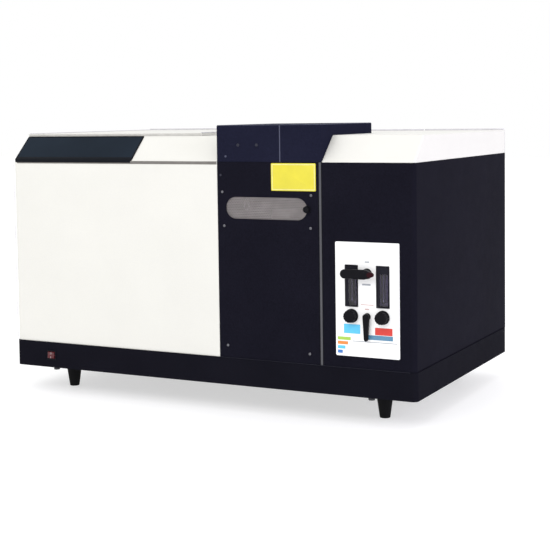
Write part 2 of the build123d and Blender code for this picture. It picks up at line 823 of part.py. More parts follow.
# Lamp turret: four lamps round a core on a plate, the lowest of them on the light's axis
lamp_count = 4
lamp_radius = 18.5
lamp_length = 120
lamp_setback = 180
socket_radius = 16
socket_length = 34
turret_pitch_radius = 55
turret_plate = 5
turret_sides = 8
turret_rim = 12
turret_shaft_radius = 8
core_radius = 33
core_length = 80
bracket_plate = 8
bracket_width = 44
bracket_gap = 12
bracket_window_radius = 14
lamp_front = bay_left - lamp_setback
lamp_rear = lamp_front - lamp_length
socket_rear = lamp_rear - socket_length
turret_z = beam_z + turret_pitch_radius
turret_axis = (flame_y, turret_z)
turret_radius = turret_pitch_radius + lamp_radius + turret_rim
bracket_front = lamp_front + bracket_gap
bracket_rear = socket_rear - bracket_gap
lamp_ring = [
    (
        flame_y + turret_pitch_radius * math.sin(2 * math.pi * lamp / lamp_count),
        turret_z - turret_pitch_radius * math.cos(2 * math.pi * lamp / lamp_count),
    )
    for lamp in range(lamp_count)
]

with BuildPart() as turret_bracket:
    foot_y = (flame_y - bracket_width / 2, flame_y + bracket_width / 2)
    foot_x = (bracket_rear - bracket_plate, bracket_front + bracket_plate)
    block(foot_x, foot_y, (bench_top, bench_top + bracket_plate))
    for upright_x in (bracket_rear - bracket_plate, bracket_front):
        with BuildSketch(facing_right(upright_x)):
            with Locations((flame_y, middle((bench_top, turret_z + bracket_width / 2)))):
                Rectangle(bracket_width, turret_z + bracket_width / 2 - bench_top)
            with Locations(turret_axis):
                Circle(turret_shaft_radius + running_gap, mode=Mode.SUBTRACT)
        extrude(amount=bracket_plate)
    with BuildSketch(facing_right(bracket_front)):
        with Locations((flame_y, beam_z)):
            RegularPolygon(bracket_window_radius, round_sides)
    extrude(amount=bracket_plate, mode=Mode.SUBTRACT)
keep(turret_bracket.part, "turret_bracket")

with BuildPart() as lamp_turret:
    with BuildSketch(facing_right(socket_rear - turret_plate)):
        with Locations(turret_axis):
            RegularPolygon(turret_radius, turret_sides, rotation=180 / turret_sides)
    extrude(amount=turret_plate)
    with BuildSketch(facing_right(socket_rear)):
        with Locations(turret_axis):
            RegularPolygon(core_radius, turret_sides, rotation=180 / turret_sides)
    extrude(amount=core_length)
    with BuildSketch(facing_right(bracket_rear - bracket_plate)):
        with Locations(turret_axis):
            RegularPolygon(turret_shaft_radius, round_sides)
    extrude(amount=bracket_front - bracket_rear + 2 * bracket_plate)
keep(lamp_turret.part, "lamp_turret")

with BuildPart() as cathode_lamps:
    with BuildSketch(facing_right(lamp_rear)):
        with Locations(*lamp_ring):
            RegularPolygon(lamp_radius, round_sides)
    extrude(amount=lamp_length)
keep(cathode_lamps.part, "cathode_lamps")

with BuildPart() as lamp_sockets:
    with BuildSketch(facing_right(socket_rear)):
        with Locations(*lamp_ring):
            RegularPolygon(socket_radius, round_sides)
    extrude(amount=socket_length)
keep(lamp_sockets.part, "lamp_sockets")

# Background lamp: a housing with a snout beside the beam, and a slanted combiner on a post in it
combiner_setback = 116
combiner_size = 28
combiner_thickness = 2
combiner_turn = -45
combiner_post = 8
background_width = 56
background_depth = 80
background_gap = 40
background_cap = 30
background_bevel = 4
snout_radius = 12
snout_length = 14
combiner_x = bay_left - combiner_setback
background_y = (flame_y + background_gap, flame_y + background_gap + background_depth)

with BuildPart() as background_lamp:
    background_x = (combiner_x - background_width / 2, combiner_x + background_width / 2)
    block(background_x, background_y, (bench_top, beam_z + background_cap))
    chamfer(background_lamp.edges().filter_by(Axis.Z), background_bevel)
    with BuildSketch(facing_front(background_y[0])):
        with Locations((combiner_x, beam_z)):
            Circle(snout_radius)
    extrude(amount=snout_length)
    with BuildSketch(Plane.XY.offset(bench_top)):
        with Locations((combiner_x, flame_y)):
            Rectangle(combiner_post, combiner_post)
    extrude(amount=beam_z - combiner_size / 2 - bench_top)
    with BuildSketch(Plane.XY.offset(beam_z - combiner_size / 2)):
        with Locations(Location((combiner_x, flame_y), combiner_turn)):
            Rectangle(combiner_size, combiner_thickness)
    extrude(amount=combiner_size)
keep(background_lamp.part, "background_lamp")

# Lens barrels that stand on the outer faces of the bay walls, with a lens inside each
barrel_wall = 3
barrel_length = 34
lens_inset = 6
lens_thickness = 6
barrel_starts = (bay_left - sheet - barrel_length, bay_right + sheet)


def beam_disc(x, radius, thickness, mode=Mode.ADD):
    """A disc on the light's axis whose left face is at x."""
    with BuildSketch(facing_right(x)) as disc:
        with Locations((flame_y, beam_z)):
            RegularPolygon(radius, round_sides)
    extrude(disc.sketch, amount=thickness, mode=mode)


with BuildPart() as lens_barrels:
    for start in barrel_starts:
        beam_disc(start, port_radius + barrel_wall, barrel_length)
        beam_disc(start, port_radius, barrel_length, Mode.SUBTRACT)
keep(lens_barrels.part, "lens_barrels")

with BuildPart() as lenses:
    for start in barrel_starts:
        beam_disc(start + lens_inset, port_radius - running_gap, lens_thickness)
keep(lenses.part, "lenses")

# Burner: a finned head with a long slot, on a neck that stands in the spray chamber's riser
burner_x = bay_middle
burner_drop = 10
burner_length = 112
burner_slot_length = 100
burner_slot_width = 1
burner_slot_depth = 16
burner_height = 30
burner_top_width = 11
burner_bottom_width = 30
fin_groove = 3
fin_depth = 4
fin_count = 3
neck_radius = 11
chamber_radius = 28
chamber_rise = 158
chamber_reach = 30
carriage_setback = 86
riser_radius = 17
riser_height = 70
neck_seat = 15
chamber_z = base_top + chamber_rise
chamber_front = flame_y - chamber_reach
carriage_front = flame_y + carriage_setback
burner_top = beam_z - burner_drop
burner_bottom = burner_top - burner_height
neck_bottom = chamber_z + riser_height - neck_seat

with BuildPart() as burner_head:
    with BuildSketch(facing_right(burner_x - burner_length / 2)):
        with BuildLine():
            Polyline(
                (flame_y - burner_bottom_width / 2, burner_bottom),
                (flame_y + burner_bottom_width / 2, burner_bottom),
                (flame_y + burner_bottom_width / 2, burner_bottom + burner_height / 2),
                (flame_y + burner_top_width / 2, burner_top),
                (flame_y - burner_top_width / 2, burner_top),
                (flame_y - burner_bottom_width / 2, burner_bottom + burner_height / 2),
                close=True,
            )
        make_face()
        for row in range(fin_count):
            groove_z = burner_bottom + (row + 1) * burner_height / 2 / (fin_count + 1)
            with Locations(
                (flame_y - burner_bottom_width / 2, groove_z),
                (flame_y + burner_bottom_width / 2, groove_z),
            ):
                Rectangle(2 * fin_depth, fin_groove, mode=Mode.SUBTRACT)
    extrude(amount=burner_length)
    with BuildSketch(Plane.XY.offset(burner_top)):
        with Locations((burner_x, flame_y)):
            Rectangle(burner_slot_length, burner_slot_width)
    extrude(amount=-burner_slot_depth, mode=Mode.SUBTRACT)
    with BuildSketch(Plane.XY.offset(neck_bottom)):
        with Locations((burner_x, flame_y)):
            RegularPolygon(neck_radius, round_sides)
    extrude(amount=burner_bottom - neck_bottom)
keep(burner_head.part, "burner_head")

drain_radius = 5
drain_length = 58
drain_setback = 62
with BuildPart() as spray_chamber:
    with BuildSketch(facing_front(chamber_front)):
        with Locations((burner_x, chamber_z)):
            RegularPolygon(chamber_radius, round_sides)
    extrude(amount=-(carriage_front - chamber_front))
    with BuildSketch(Plane.XY.offset(chamber_z)):
        with Locations((burner_x, flame_y)):
            RegularPolygon(riser_radius, round_sides)
    extrude(amount=riser_height)
    with BuildSketch(Plane.XY.offset(neck_bottom)):
        with Locations((burner_x, flame_y)):
            RegularPolygon(neck_radius + running_gap, round_sides)
    extrude(amount=neck_seat, mode=Mode.SUBTRACT)
    with BuildSketch(Plane.XY.offset(chamber_z)):
        with Locations((burner_x, flame_y + drain_setback)):
            RegularPolygon(drain_radius, round_sides)
    extrude(amount=-drain_length)
keep(spray_chamber.part, "spray_chamber")

# Nebulizer: a faceted clamping ring on the chamber's front and a narrow body
ring_radius = 13
ring_depth = 12
nebulizer_radius = 6
nebulizer_length = 40
with BuildPart() as nebulizer:
    with BuildSketch(facing_front(chamber_front)):
        with Locations((burner_x, chamber_z)):
            RegularPolygon(ring_radius, round_sides)
    extrude(amount=ring_depth)
    with BuildSketch(facing_front(chamber_front - ring_depth)):
        with Locations((burner_x, chamber_z)):
            RegularPolygon(nebulizer_radius, round_sides)
    extrude(amount=nebulizer_length - ring_depth)
keep(nebulizer.part, "nebulizer")

# Height gear: a rack on the carriage's back and the pinion that lifts it on two rods
gear_module = 1.5
pinion_teeth = 16
pressure_angle = math.radians(20)
backlash = 0.15
rack_teeth = 13
rack_width = 14
rack_back = 4
addendum_share = 0.8
dedendum_share = 1.25
carriage_height = 66
carriage_width = 116
carriage_depth = 28
rod_radius = 6
rod_spacing = 80
rod_rise = 283
column_base = 12
column_width = 140
column_bar = 10
lug_half_width = 10
lug_thickness = 6
lug_offset = 17
shaft_radius = 4
pinion_width = 12
height_knob_radius = 16
height_knob_depth = 14
height_knob_offset = 70
height_knob_lobes = 10
tooth_pitch = math.pi * gear_module
pitch_radius = gear_module * pinion_teeth / 2
carriage_rear = carriage_front + carriage_depth
rack_root_y = carriage_rear + rack_back
rack_pitch_y = rack_root_y + dedendum_share * gear_module
rack_tip_y = rack_pitch_y + addendum_share * gear_module
pinion_y = rack_pitch_y + pitch_radius + backlash / 2
rod_y = middle((carriage_front, carriage_rear))
rod_places = [(burner_x - rod_spacing / 2, rod_y), (burner_x + rod_spacing / 2, rod_y)]
column_y = (carriage_front - column_base / 2, pinion_y + 2 * lug_half_width)


def rack_outline():
    """The rack's side view: a back and straight-flanked teeth, a gap facing the pinion's axis."""
    pitch_half = (tooth_pitch / 2 - backlash) / 2
    tip_half = pitch_half - (rack_tip_y - rack_pitch_y) * math.tan(pressure_angle)
    root_half = pitch_half + (rack_pitch_y - rack_root_y) * math.tan(pressure_angle)
    half_length = (rack_teeth + 1) * tooth_pitch / 2
    points = [(carriage_rear, chamber_z - half_length), (rack_root_y, chamber_z - half_length)]
    for tooth in range(rack_teeth + 1):
        tooth_z = chamber_z + (tooth - rack_teeth / 2) * tooth_pitch
        points += [
            (rack_root_y, tooth_z - root_half),
            (rack_tip_y, tooth_z - tip_half),
            (rack_tip_y, tooth_z + tip_half),
            (rack_root_y, tooth_z + root_half),
        ]
    top = chamber_z + half_length
    return [*points, (rack_root_y, top), (carriage_rear, top)]


def involute(angle):
    """The involute function."""
    return math.tan(angle) - angle


def pinion_outline():
    """Involute teeth round the pinion's axis, one of them pointing at the rack."""
    base_radius = pitch_radius * math.cos(pressure_angle)
    root_radius = pitch_radius - dedendum_share * gear_module
    tip_radius = pitch_radius + addendum_share * gear_module
    half_pitch = (tooth_pitch / 2 - backlash) / 2 / pitch_radius
    flank = []
    for radius in (base_radius, pitch_radius, tip_radius):
        turn = half_pitch + involute(pressure_angle) - involute(math.acos(base_radius / radius))
        flank.append((radius, turn))
    flank.insert(0, (root_radius, flank[0][1]))
    points = []
    for tooth in range(pinion_teeth):
        centre = math.pi + tooth * 2 * math.pi / pinion_teeth
        sides = [(r, centre - turn) for r, turn in flank] + [
            (r, centre + turn) for r, turn in reversed(flank)
        ]
        points += [
            (pinion_y + r * math.cos(angle), chamber_z + r * math.sin(angle)) for r, angle in sides
        ]
    return points


with BuildPart() as burner_carriage:
    block(
        (burner_x - carriage_width / 2, burner_x + carriage_width / 2),
        (carriage_front, carriage_rear),
        (chamber_z - carriage_height / 2, chamber_z + carriage_height / 2),
    )
    with BuildSketch(facing_right(burner_x - rack_width / 2)):
        with BuildLine():
            Polyline(*rack_outline(), close=True)
        make_face()
    extrude(amount=rack_width)
    with BuildSketch(Plane.XY.offset(chamber_z)):
        with Locations(*rod_places):
            RegularPolygon(rod_radius + running_gap, round_sides)
    extrude(amount=carriage_height, both=True, mode=Mode.SUBTRACT)
keep(burner_carriage.part, "burner_carriage")

with BuildPart() as guide_column:
    column_x = (burner_x - column_width / 2, burner_x + column_width / 2)
    block(column_x, column_y, (base_top, base_top + column_base))
    with BuildSketch(Plane.XY.offset(base_top)):
        with Locations(*rod_places):
            RegularPolygon(rod_radius, round_sides)
    extrude(amount=rod_rise)
    bar_x = (rod_places[0][0] - 2 * rod_radius, rod_places[1][0] + 2 * rod_radius)
    bar_y = (rod_y - 2 * rod_radius, rod_y + 2 * rod_radius)
    block(bar_x, bar_y, (base_top + rod_rise - column_bar, base_top + rod_rise))
    for side in (-1, 1):
        lug_x = burner_x + side * lug_offset - lug_thickness / 2
        with BuildSketch(facing_right(lug_x)):
            with Locations((pinion_y, middle((base_top, chamber_z + lug_half_width)))):
                Rectangle(2 * lug_half_width, chamber_z + lug_half_width - base_top)
            with Locations((pinion_y, chamber_z)):
                Circle(shaft_radius + running_gap, mode=Mode.SUBTRACT)
        extrude(amount=lug_thickness)
keep(guide_column.part, "guide_column")

with BuildPart() as height_pinion:
    with BuildSketch(facing_right(burner_x - pinion_width / 2)):
        with BuildLine():
            Polyline(*pinion_outline(), close=True)
        make_face()
    extrude(amount=pinion_width)
    shaft_start = burner_x - lug_offset - lug_thickness
    with BuildSketch(facing_right(shaft_start)):
        with Locations((pinion_y, chamber_z)):
            RegularPolygon(shaft_radius, round_sides)
    extrude(amount=burner_x + height_knob_offset - shaft_start)
    with BuildSketch(facing_right(burner_x + height_knob_offset)):
        with BuildLine():
            grip = grip_outline(
                (pinion_y, chamber_z), height_knob_radius, knob_notch, height_knob_lobes
            )
            Polyline(*grip, close=True)
        make_face()
    extrude(amount=height_knob_depth)
keep(height_pinion.part, "height_pinion")

# Monochromator: a box with a cover, fixed mirrors on posts and a grating that turns on the floor
case_wall = 5
case_height = 100
case_cover = 4
case_right_inset = 20
case_front_inset = 90
case_rear_inset = 55
slit_width = 5
slit_height = 14
mirror_width = 32
mirror_thickness = 5
mirror_post = 8
mirror_setback = 26
fold_inset = 46
exit_inset = 38
grating_setback = 90
table_width = 34
table_thickness = 6
table_shaft_radius = 5
grating_width = 30
grating_thickness = 9
case_x = (bay_right + sheet + barrel_length, right_x - case_right_inset)
case_y = (front_y + case_front_inset, rear_y - case_rear_inset)
case_top = shelf_top + case_height
case_floor = shelf_top + case_wall
fold_x = case_x[0] + fold_inset
exit_x = case_x[1] - exit_inset
grating_x = middle((fold_x, exit_x))
grating_y = flame_y + grating_setback
rear_mirror_y = case_y[1] - mirror_setback
mirror_bottom = beam_z - mirror_width / 2

with BuildPart() as monochromator_case:
    block(case_x, case_y, (shelf_top, case_top))
    rim = monochromator_case.faces().sort_by(Axis.Z)[-1]
    offset(amount=-case_wall, openings=rim, kind=Kind.INTERSECTION)
    block(case_x, case_y, (case_top, case_top + case_cover))
    with BuildSketch(facing_right(case_x[0])):
        with Locations((flame_y, beam_z)):
            Rectangle(slit_width, slit_height)
    extrude(amount=case_wall, mode=Mode.SUBTRACT)
    with BuildSketch(facing_front(case_y[0])):
        with Locations((exit_x, beam_z)):
            Rectangle(slit_width, slit_height)
    extrude(amount=-case_wall, mode=Mode.SUBTRACT)
    with BuildSketch(Plane.XY.offset(shelf_top)):
        with Locations((grating_x, grating_y)):
            Circle(table_shaft_radius + running_gap)
    extrude(amount=case_wall, mode=Mode.SUBTRACT)
keep(monochromator_case.part, "monochromator_case")

with BuildPart() as mirrors:
    for x, y, turn in ((fold_x, flame_y, 45), (fold_x, rear_mirror_y, 0), (exit_x, rear_mirror_y, 0)):
        with BuildSketch(Plane.XY.offset(mirror_bottom)):
            with Locations(Location((x, y), turn)):
                Rectangle(mirror_width, mirror_thickness)
        extrude(amount=mirror_width)
        with BuildSketch(Plane.XY.offset(case_floor)):
            with Locations((x, y)):
                Rectangle(mirror_post, mirror_thickness)
        extrude(amount=mirror_bottom - case_floor)
keep(mirrors.part, "mirrors")

with BuildPart() as grating_table:
    with BuildSketch(Plane.XY.offset(case_floor + fit_gap)):
        with Locations((grating_x, grating_y)):
            Rectangle(table_width, table_width)
    extrude(amount=table_thickness)
    with BuildSketch(Plane.XY.offset(case_floor + fit_gap)):
        with Locations((grating_x, grating_y)):
            RegularPolygon(table_shaft_radius, round_sides)
    extrude(amount=-case_wall)
    with BuildSketch(Plane.XY.offset(case_floor + fit_gap + table_thickness)):
        with Locations((grating_x, grating_y)):
            Rectangle(grating_width, grating_thickness)
    extrude(amount=beam_z + grating_width / 2 - case_floor - table_thickness)
keep(grating_table.part, "grating_table")

detector_width = 52
detector_depth = 60
detector_height = 64
detector_bevel = 4
with BuildPart() as detector_housing:
    block(
        (exit_x - detector_width / 2, exit_x + detector_width / 2),
        (case_y[0] - detector_depth, case_y[0]),
        (beam_z - detector_height / 2, beam_z + detector_height / 2),
    )
    chamfer(detector_housing.faces().sort_by(Axis.Y)[0].edges(), detector_bevel)
keep(detector_housing.part, "detector_housing")

# Electronics on the deck under the left bench
supply_inset_x = 60
supply_inset_y = 55
supply_width = 180
supply_depth = 140
supply_height = 80
supply_bevel = 2
board_inset_x = 270
board_inset_y = 45
board_right_gap = 49
board_depth = 170
board_thickness = 1.6
board_rise = 10
board_post = 8
supply_x = (left_x + supply_inset_x, left_x + supply_inset_x + supply_width)
supply_y = (rear_y - supply_inset_y - supply_depth, rear_y - supply_inset_y)
board_x = (left_x + board_inset_x, bay_left - board_right_gap)
board_y = (rear_y - board_inset_y - board_depth, rear_y - board_inset_y)
board_bottom = base_top + board_rise
chip_width = 26
chip_height = 8
chip_pitch_x = 55
chip_pitch_y = 50
with BuildPart() as power_supply:
    block(supply_x, supply_y, (base_top, base_top + supply_height))
    chamfer(power_supply.faces().sort_by(Axis.Z)[-1].edges(), supply_bevel)
keep(power_supply.part, "power_supply")

with BuildPart() as control_board:
    block(board_x, board_y, (board_bottom, board_bottom + board_thickness))
    with BuildSketch(Plane.XY.offset(base_top)):
        with Locations((middle(board_x), middle(board_y))):
            with GridLocations(length(board_x) - board_post, board_depth - board_post, 2, 2):
                Rectangle(board_post, board_post)
    extrude(amount=board_rise)
    with BuildSketch(Plane.XY.offset(board_bottom + board_thickness)):
        with Locations((middle(board_x), middle(board_y))):
            with GridLocations(chip_pitch_x, chip_pitch_y, 3, 2):
                Rectangle(chip_width, chip_width)
    extrude(amount=chip_height)
keep(control_board.part, "control_board")

# Cooling fan: a square frame with a motor boss on three spokes, and a seven-bladed rotor
boss_radius = 20
boss_depth = 5
spoke_width = 6
spoke_count = 3
fan_pin_radius = 2
hub_radius = 19
hub_depth = 14
blade_count = 7
blade_tip_gap = 2
blade_chord = 15
blade_thickness = 2
blade_pitch_angle = 40
blade_length = fan_bore_radius - blade_tip_gap - hub_radius + blade_thickness
fan_back = rear_inner - fan_depth
hub_start = fan_back + boss_depth + fit_gap

with BuildPart() as fan_frame:
    with BuildSketch(facing_front(rear_inner)):
        with Locations((fan_x, fan_z)):
            Rectangle(fan_size, fan_size)
            Circle(fan_bore_radius, mode=Mode.SUBTRACT)
    extrude(amount=fan_depth)
    with BuildSketch(facing_front(fan_back)):
        with Locations((fan_x, fan_z)):
            RegularPolygon(boss_radius, round_sides)
            with PolarLocations((boss_radius + fan_bore_radius) / 2, spoke_count, start_angle=90):
                Rectangle(fan_bore_radius - boss_radius + spoke_width, spoke_width)
    extrude(amount=-boss_depth)
    with BuildSketch(facing_front(fan_back)):
        with Locations((fan_x, fan_z)):
            RegularPolygon(fan_pin_radius, round_sides)
    extrude(amount=-(boss_depth + hub_depth / 2))
keep(fan_frame.part, "fan_frame")

with BuildPart() as fan_rotor:
    with BuildSketch(facing_front(hub_start)):
        with Locations((fan_x, fan_z)):
            RegularPolygon(hub_radius, round_sides)
    extrude(amount=-hub_depth)
    for blade in range(blade_count):
        turn = 2 * math.pi * blade / blade_count
        root_plane = Plane(
            origin=(fan_x, hub_start + hub_depth / 2, fan_z),
            x_dir=(0, 1, 0),
            z_dir=(math.cos(turn), 0, math.sin(turn)),
        )
        with BuildSketch(root_plane.offset(hub_radius - blade_thickness)):
            Rectangle(blade_chord, blade_thickness, rotation=blade_pitch_angle)
        extrude(amount=blade_length)
    with BuildSketch(facing_front(hub_start)):
        with Locations((fan_x, fan_z)):
            Circle(fan_pin_radius + running_gap)
    extrude(amount=-(hub_depth / 2 + fit_gap), mode=Mode.SUBTRACT)
keep(fan_rotor.part, "fan_rotor")

# Power inlet: a flanged socket with three blades in its recess
inlet_flange_width = 48
inlet_flange_height = 28
inlet_flange_bevel = 3
inlet_flange = 3
inlet_depth = 27
inlet_recess_width = 24
inlet_recess_height = 16
inlet_recess_depth = 17
blade_width = 2
blade_height = 4
blade_reach = 11
blade_spacing = 7
with BuildPart() as power_inlet:
    with BuildSketch(facing_front(rear_y)) as inlet_plate:
        with Locations((inlet_x, inlet_z)):
            Rectangle(inlet_flange_width, inlet_flange_height)
        chamfer(inlet_plate.vertices(), inlet_flange_bevel)
    extrude(amount=-inlet_flange)
    with BuildSketch(facing_front(rear_y)):
        with Locations((inlet_x, inlet_z)):
            Rectangle(inlet_body_width, inlet_body_height)
    extrude(amount=inlet_depth)
    with BuildSketch(facing_front(rear_y + inlet_flange)):
        with Locations((inlet_x, inlet_z)):
            Rectangle(inlet_recess_width, inlet_recess_height)
    extrude(amount=inlet_recess_depth, mode=Mode.SUBTRACT)
    with BuildSketch(facing_front(rear_y + inlet_flange - inlet_recess_depth)):
        with Locations(
            (inlet_x - blade_spacing, inlet_z - blade_width),
            (inlet_x, inlet_z + blade_width),
            (inlet_x + blade_spacing, inlet_z - blade_width),
        ):
            Rectangle(blade_width, blade_height)
    extrude(amount=-blade_reach)
keep(power_inlet.part, "power_inlet")

# Data port: a flanged shell with a tongue
port_flange_width = 32
port_flange_height = 14
port_flange = 1.5
port_depth = 12
port_proud = 6
port_wall = 1
port_slant = 80
with BuildPart() as data_port:
    with BuildSketch(facing_front(rear_y)):
        with Locations((port_x, inlet_z)):
            Rectangle(port_flange_width, port_flange_height)
    extrude(amount=-port_flange)
    with BuildSketch(facing_front(rear_y)):
        with Locations((port_x, inlet_z)):
            Rectangle(port_width, port_height)
    extrude(amount=port_depth)
    with BuildSketch(facing_front(rear_y)):
        with Locations((port_x, inlet_z)):
            for wall, mode in ((2 * port_wall, Mode.ADD), (4 * port_wall, Mode.SUBTRACT)):
                Trapezoid(port_width - wall, port_height - wall, port_slant, mode=mode)
    extrude(amount=-port_proud)
keep(data_port.part, "data_port")

# Gas inlets: hexagon fittings with a stub for each hose, and the pipes inside to the valve block
gas_nut_across = 17
gas_nut_depth = 8
gas_stub_radius = 4
gas_stub_length = 20
gas_spacing = 60
gas_inset_x = 110
pipe_radius = 3
gas_x = right_x - gas_inset_x
gas_places = [(gas_x - gas_spacing / 2, valve_z), (gas_x + gas_spacing / 2, valve_z)]
with BuildPart() as gas_inlets:
    with BuildSketch(facing_front(rear_y)):
        with Locations(*gas_places):
            RegularPolygon(gas_nut_across / 2, 6, major_radius=False)
    extrude(amount=-gas_nut_depth)
    with BuildSketch(facing_front(rear_y + gas_nut_depth)):
        with Locations(*gas_places):
            Circle(gas_stub_radius)
    extrude(amount=-gas_stub_length)
keep(gas_inlets.part, "gas_inlets")

with BuildPart() as gas_pipes:
    with BuildSketch(facing_front(rear_inner)):
        with Locations(*gas_places):
            RegularPolygon(pipe_radius, round_sides)
    extrude(amount=rear_inner - block_y[1])
keep(gas_pipes.part, "gas_pipes")
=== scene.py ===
import json
import math
from itertools import product

import bmesh
import bpy
from mathutils import Matrix, Vector
from mathutils.geometry import convex_hull_2d


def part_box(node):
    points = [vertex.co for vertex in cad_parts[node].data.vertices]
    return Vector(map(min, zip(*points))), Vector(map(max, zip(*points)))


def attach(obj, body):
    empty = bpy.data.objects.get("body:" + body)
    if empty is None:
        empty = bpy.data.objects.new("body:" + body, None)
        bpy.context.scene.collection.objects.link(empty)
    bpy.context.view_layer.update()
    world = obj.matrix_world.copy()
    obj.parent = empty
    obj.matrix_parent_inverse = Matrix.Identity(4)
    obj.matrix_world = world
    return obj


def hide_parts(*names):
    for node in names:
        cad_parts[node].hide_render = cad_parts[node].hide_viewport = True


# Looks of the atomic absorption spectrometer, in the frame's own axes: X to the right, Y to the
# rear, Z up, the origin on the bench under the cabinet's middle. Places are in metres, and the
# sizes of shapes are in millimetres.

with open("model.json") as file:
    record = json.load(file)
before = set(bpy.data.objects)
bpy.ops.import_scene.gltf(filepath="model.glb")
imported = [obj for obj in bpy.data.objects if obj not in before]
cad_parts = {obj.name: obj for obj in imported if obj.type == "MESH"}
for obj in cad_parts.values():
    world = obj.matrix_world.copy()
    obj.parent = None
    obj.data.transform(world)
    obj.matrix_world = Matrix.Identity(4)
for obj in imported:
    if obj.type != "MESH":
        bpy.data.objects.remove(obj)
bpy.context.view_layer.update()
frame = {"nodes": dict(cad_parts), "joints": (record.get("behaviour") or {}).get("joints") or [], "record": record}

MM = 0.001
X, Y = 0, 1
UP = Matrix.Identity(4)
DOWN = Matrix.Rotation(math.radians(180), 4, "X")
FRONT = Matrix.Rotation(math.radians(90), 4, "X")
REAR = Matrix.Rotation(math.radians(-90), 4, "X")
RIGHT = Matrix.Rotation(math.radians(90), 4, "Y")


# Places and sizes read from the frame
def low(node):
    """The lowest corner of a CAD node."""
    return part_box(node)[0]


def high(node):
    """The highest corner of a CAD node."""
    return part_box(node)[1]


def middle(node):
    """The middle of a CAD node's box."""
    return (low(node) + high(node)) / 2


def size(node):
    """The width, depth and height of a CAD node's box, in millimetres."""
    return (high(node) - low(node)) / MM


def drawn_in(node, axis, inset):
    """Both ends of a CAD node's box along an axis, drawn in by an inset in millimetres."""
    return [low(node)[axis] + inset * MM, high(node)[axis] - inset * MM]


def row_from(start, pitch, count):
    """Evenly spaced values that begin at start; the pitch is in millimetres."""
    return [start + index * pitch * MM for index in range(count)]


def row_about(value, pitch, count):
    """Evenly spaced values about a value; the pitch is in millimetres."""
    return row_from(value - (count - 1) / 2 * pitch * MM, pitch, count)


def grid(x_values, y_values, z_values):
    """Every place with one of the X, one of the Y and one of the Z values."""
    return list(product(x_values, y_values, z_values))


front_y = low("left_shell").y
rear_y = high("left_shell").y
base_top = low("left_shell").z
shoulder = high("left_shell").z
base_bottom = low("base_tray").z
hood_top = high("burner_hood").z
fascia_face = low("gas_fascia").y
pivots = {
    joint["name"]: Vector(joint["pos_m"]) for joint in frame["joints"] if "pos_m" in joint
}


# Materials
FIRST_COLOUR, SECOND_COLOUR, MIXED_COLOUR = 6, 7, 2
fleck_scale = 1300
# Cells per metre of the patches along rubbed edges and edges with painted shade
edge_patch_scale = 260
finishes = {}


def add_node(tree, kind, inputs=None, **settings):
    """A new node; a socket among the inputs is linked and any other value is set."""
    node = tree.nodes.new(kind)
    for key, value in settings.items():
        setattr(node, key, value)
    for key, value in (inputs or {}).items():
        if isinstance(value, bpy.types.NodeSocket):
            tree.links.new(value, node.inputs[key])
        else:
            node.inputs[key].default_value = value
    return node


def noise(tree, scale, stretch=(1, 1, 1), detail=4, roughness=0.55):
    """Noise over the object's own coordinates; scale is in cells per metre."""
    place = add_node(tree, "ShaderNodeTexCoord").outputs["Object"]
    mapped = add_node(tree, "ShaderNodeMapping", {"Vector": place, "Scale": stretch})
    texture = add_node(
        tree,
        "ShaderNodeTexNoise",
        {"Vector": mapped.outputs["Vector"], "Scale": scale, "Detail": detail, "Roughness": roughness},
    )
    return texture.outputs["Fac"]


def spread(tree, value, low_value, high_value, from_low=0.3, from_high=0.7):
    """A factor carried onto the span from low_value to high_value."""
    ends = {"From Min": from_low, "From Max": from_high, "To Min": low_value, "To Max": high_value}
    return add_node(tree, "ShaderNodeMapRange", {"Value": value, **ends}).outputs["Result"]


def blend(tree, factor, first, second):
    """Two colours mixed by a factor."""
    node = add_node(tree, "ShaderNodeMix", {"Factor": factor}, data_type="RGBA")
    for index, value in ((FIRST_COLOUR, first), (SECOND_COLOUR, second)):
        if isinstance(value, bpy.types.NodeSocket):
            tree.links.new(value, node.inputs[index])
        else:
            node.inputs[index].default_value = (*value, 1)
    return node.outputs[MIXED_COLOUR]


def shade(colour, factor):
    """A colour made lighter or darker."""
    return tuple(min(1, channel * factor) for channel in colour)


def edge_mask(tree, rounded):
    """1 on edges that the rounded normal turns away from and 0 on flats."""
    true_normal = add_node(tree, "ShaderNodeNewGeometry").outputs["Normal"]
    dot = add_node(
        tree, "ShaderNodeVectorMath", {0: rounded, 1: true_normal}, operation="DOT_PRODUCT"
    )
    return spread(tree, dot.outputs["Value"], 1, 0, 0.75, 0.99)


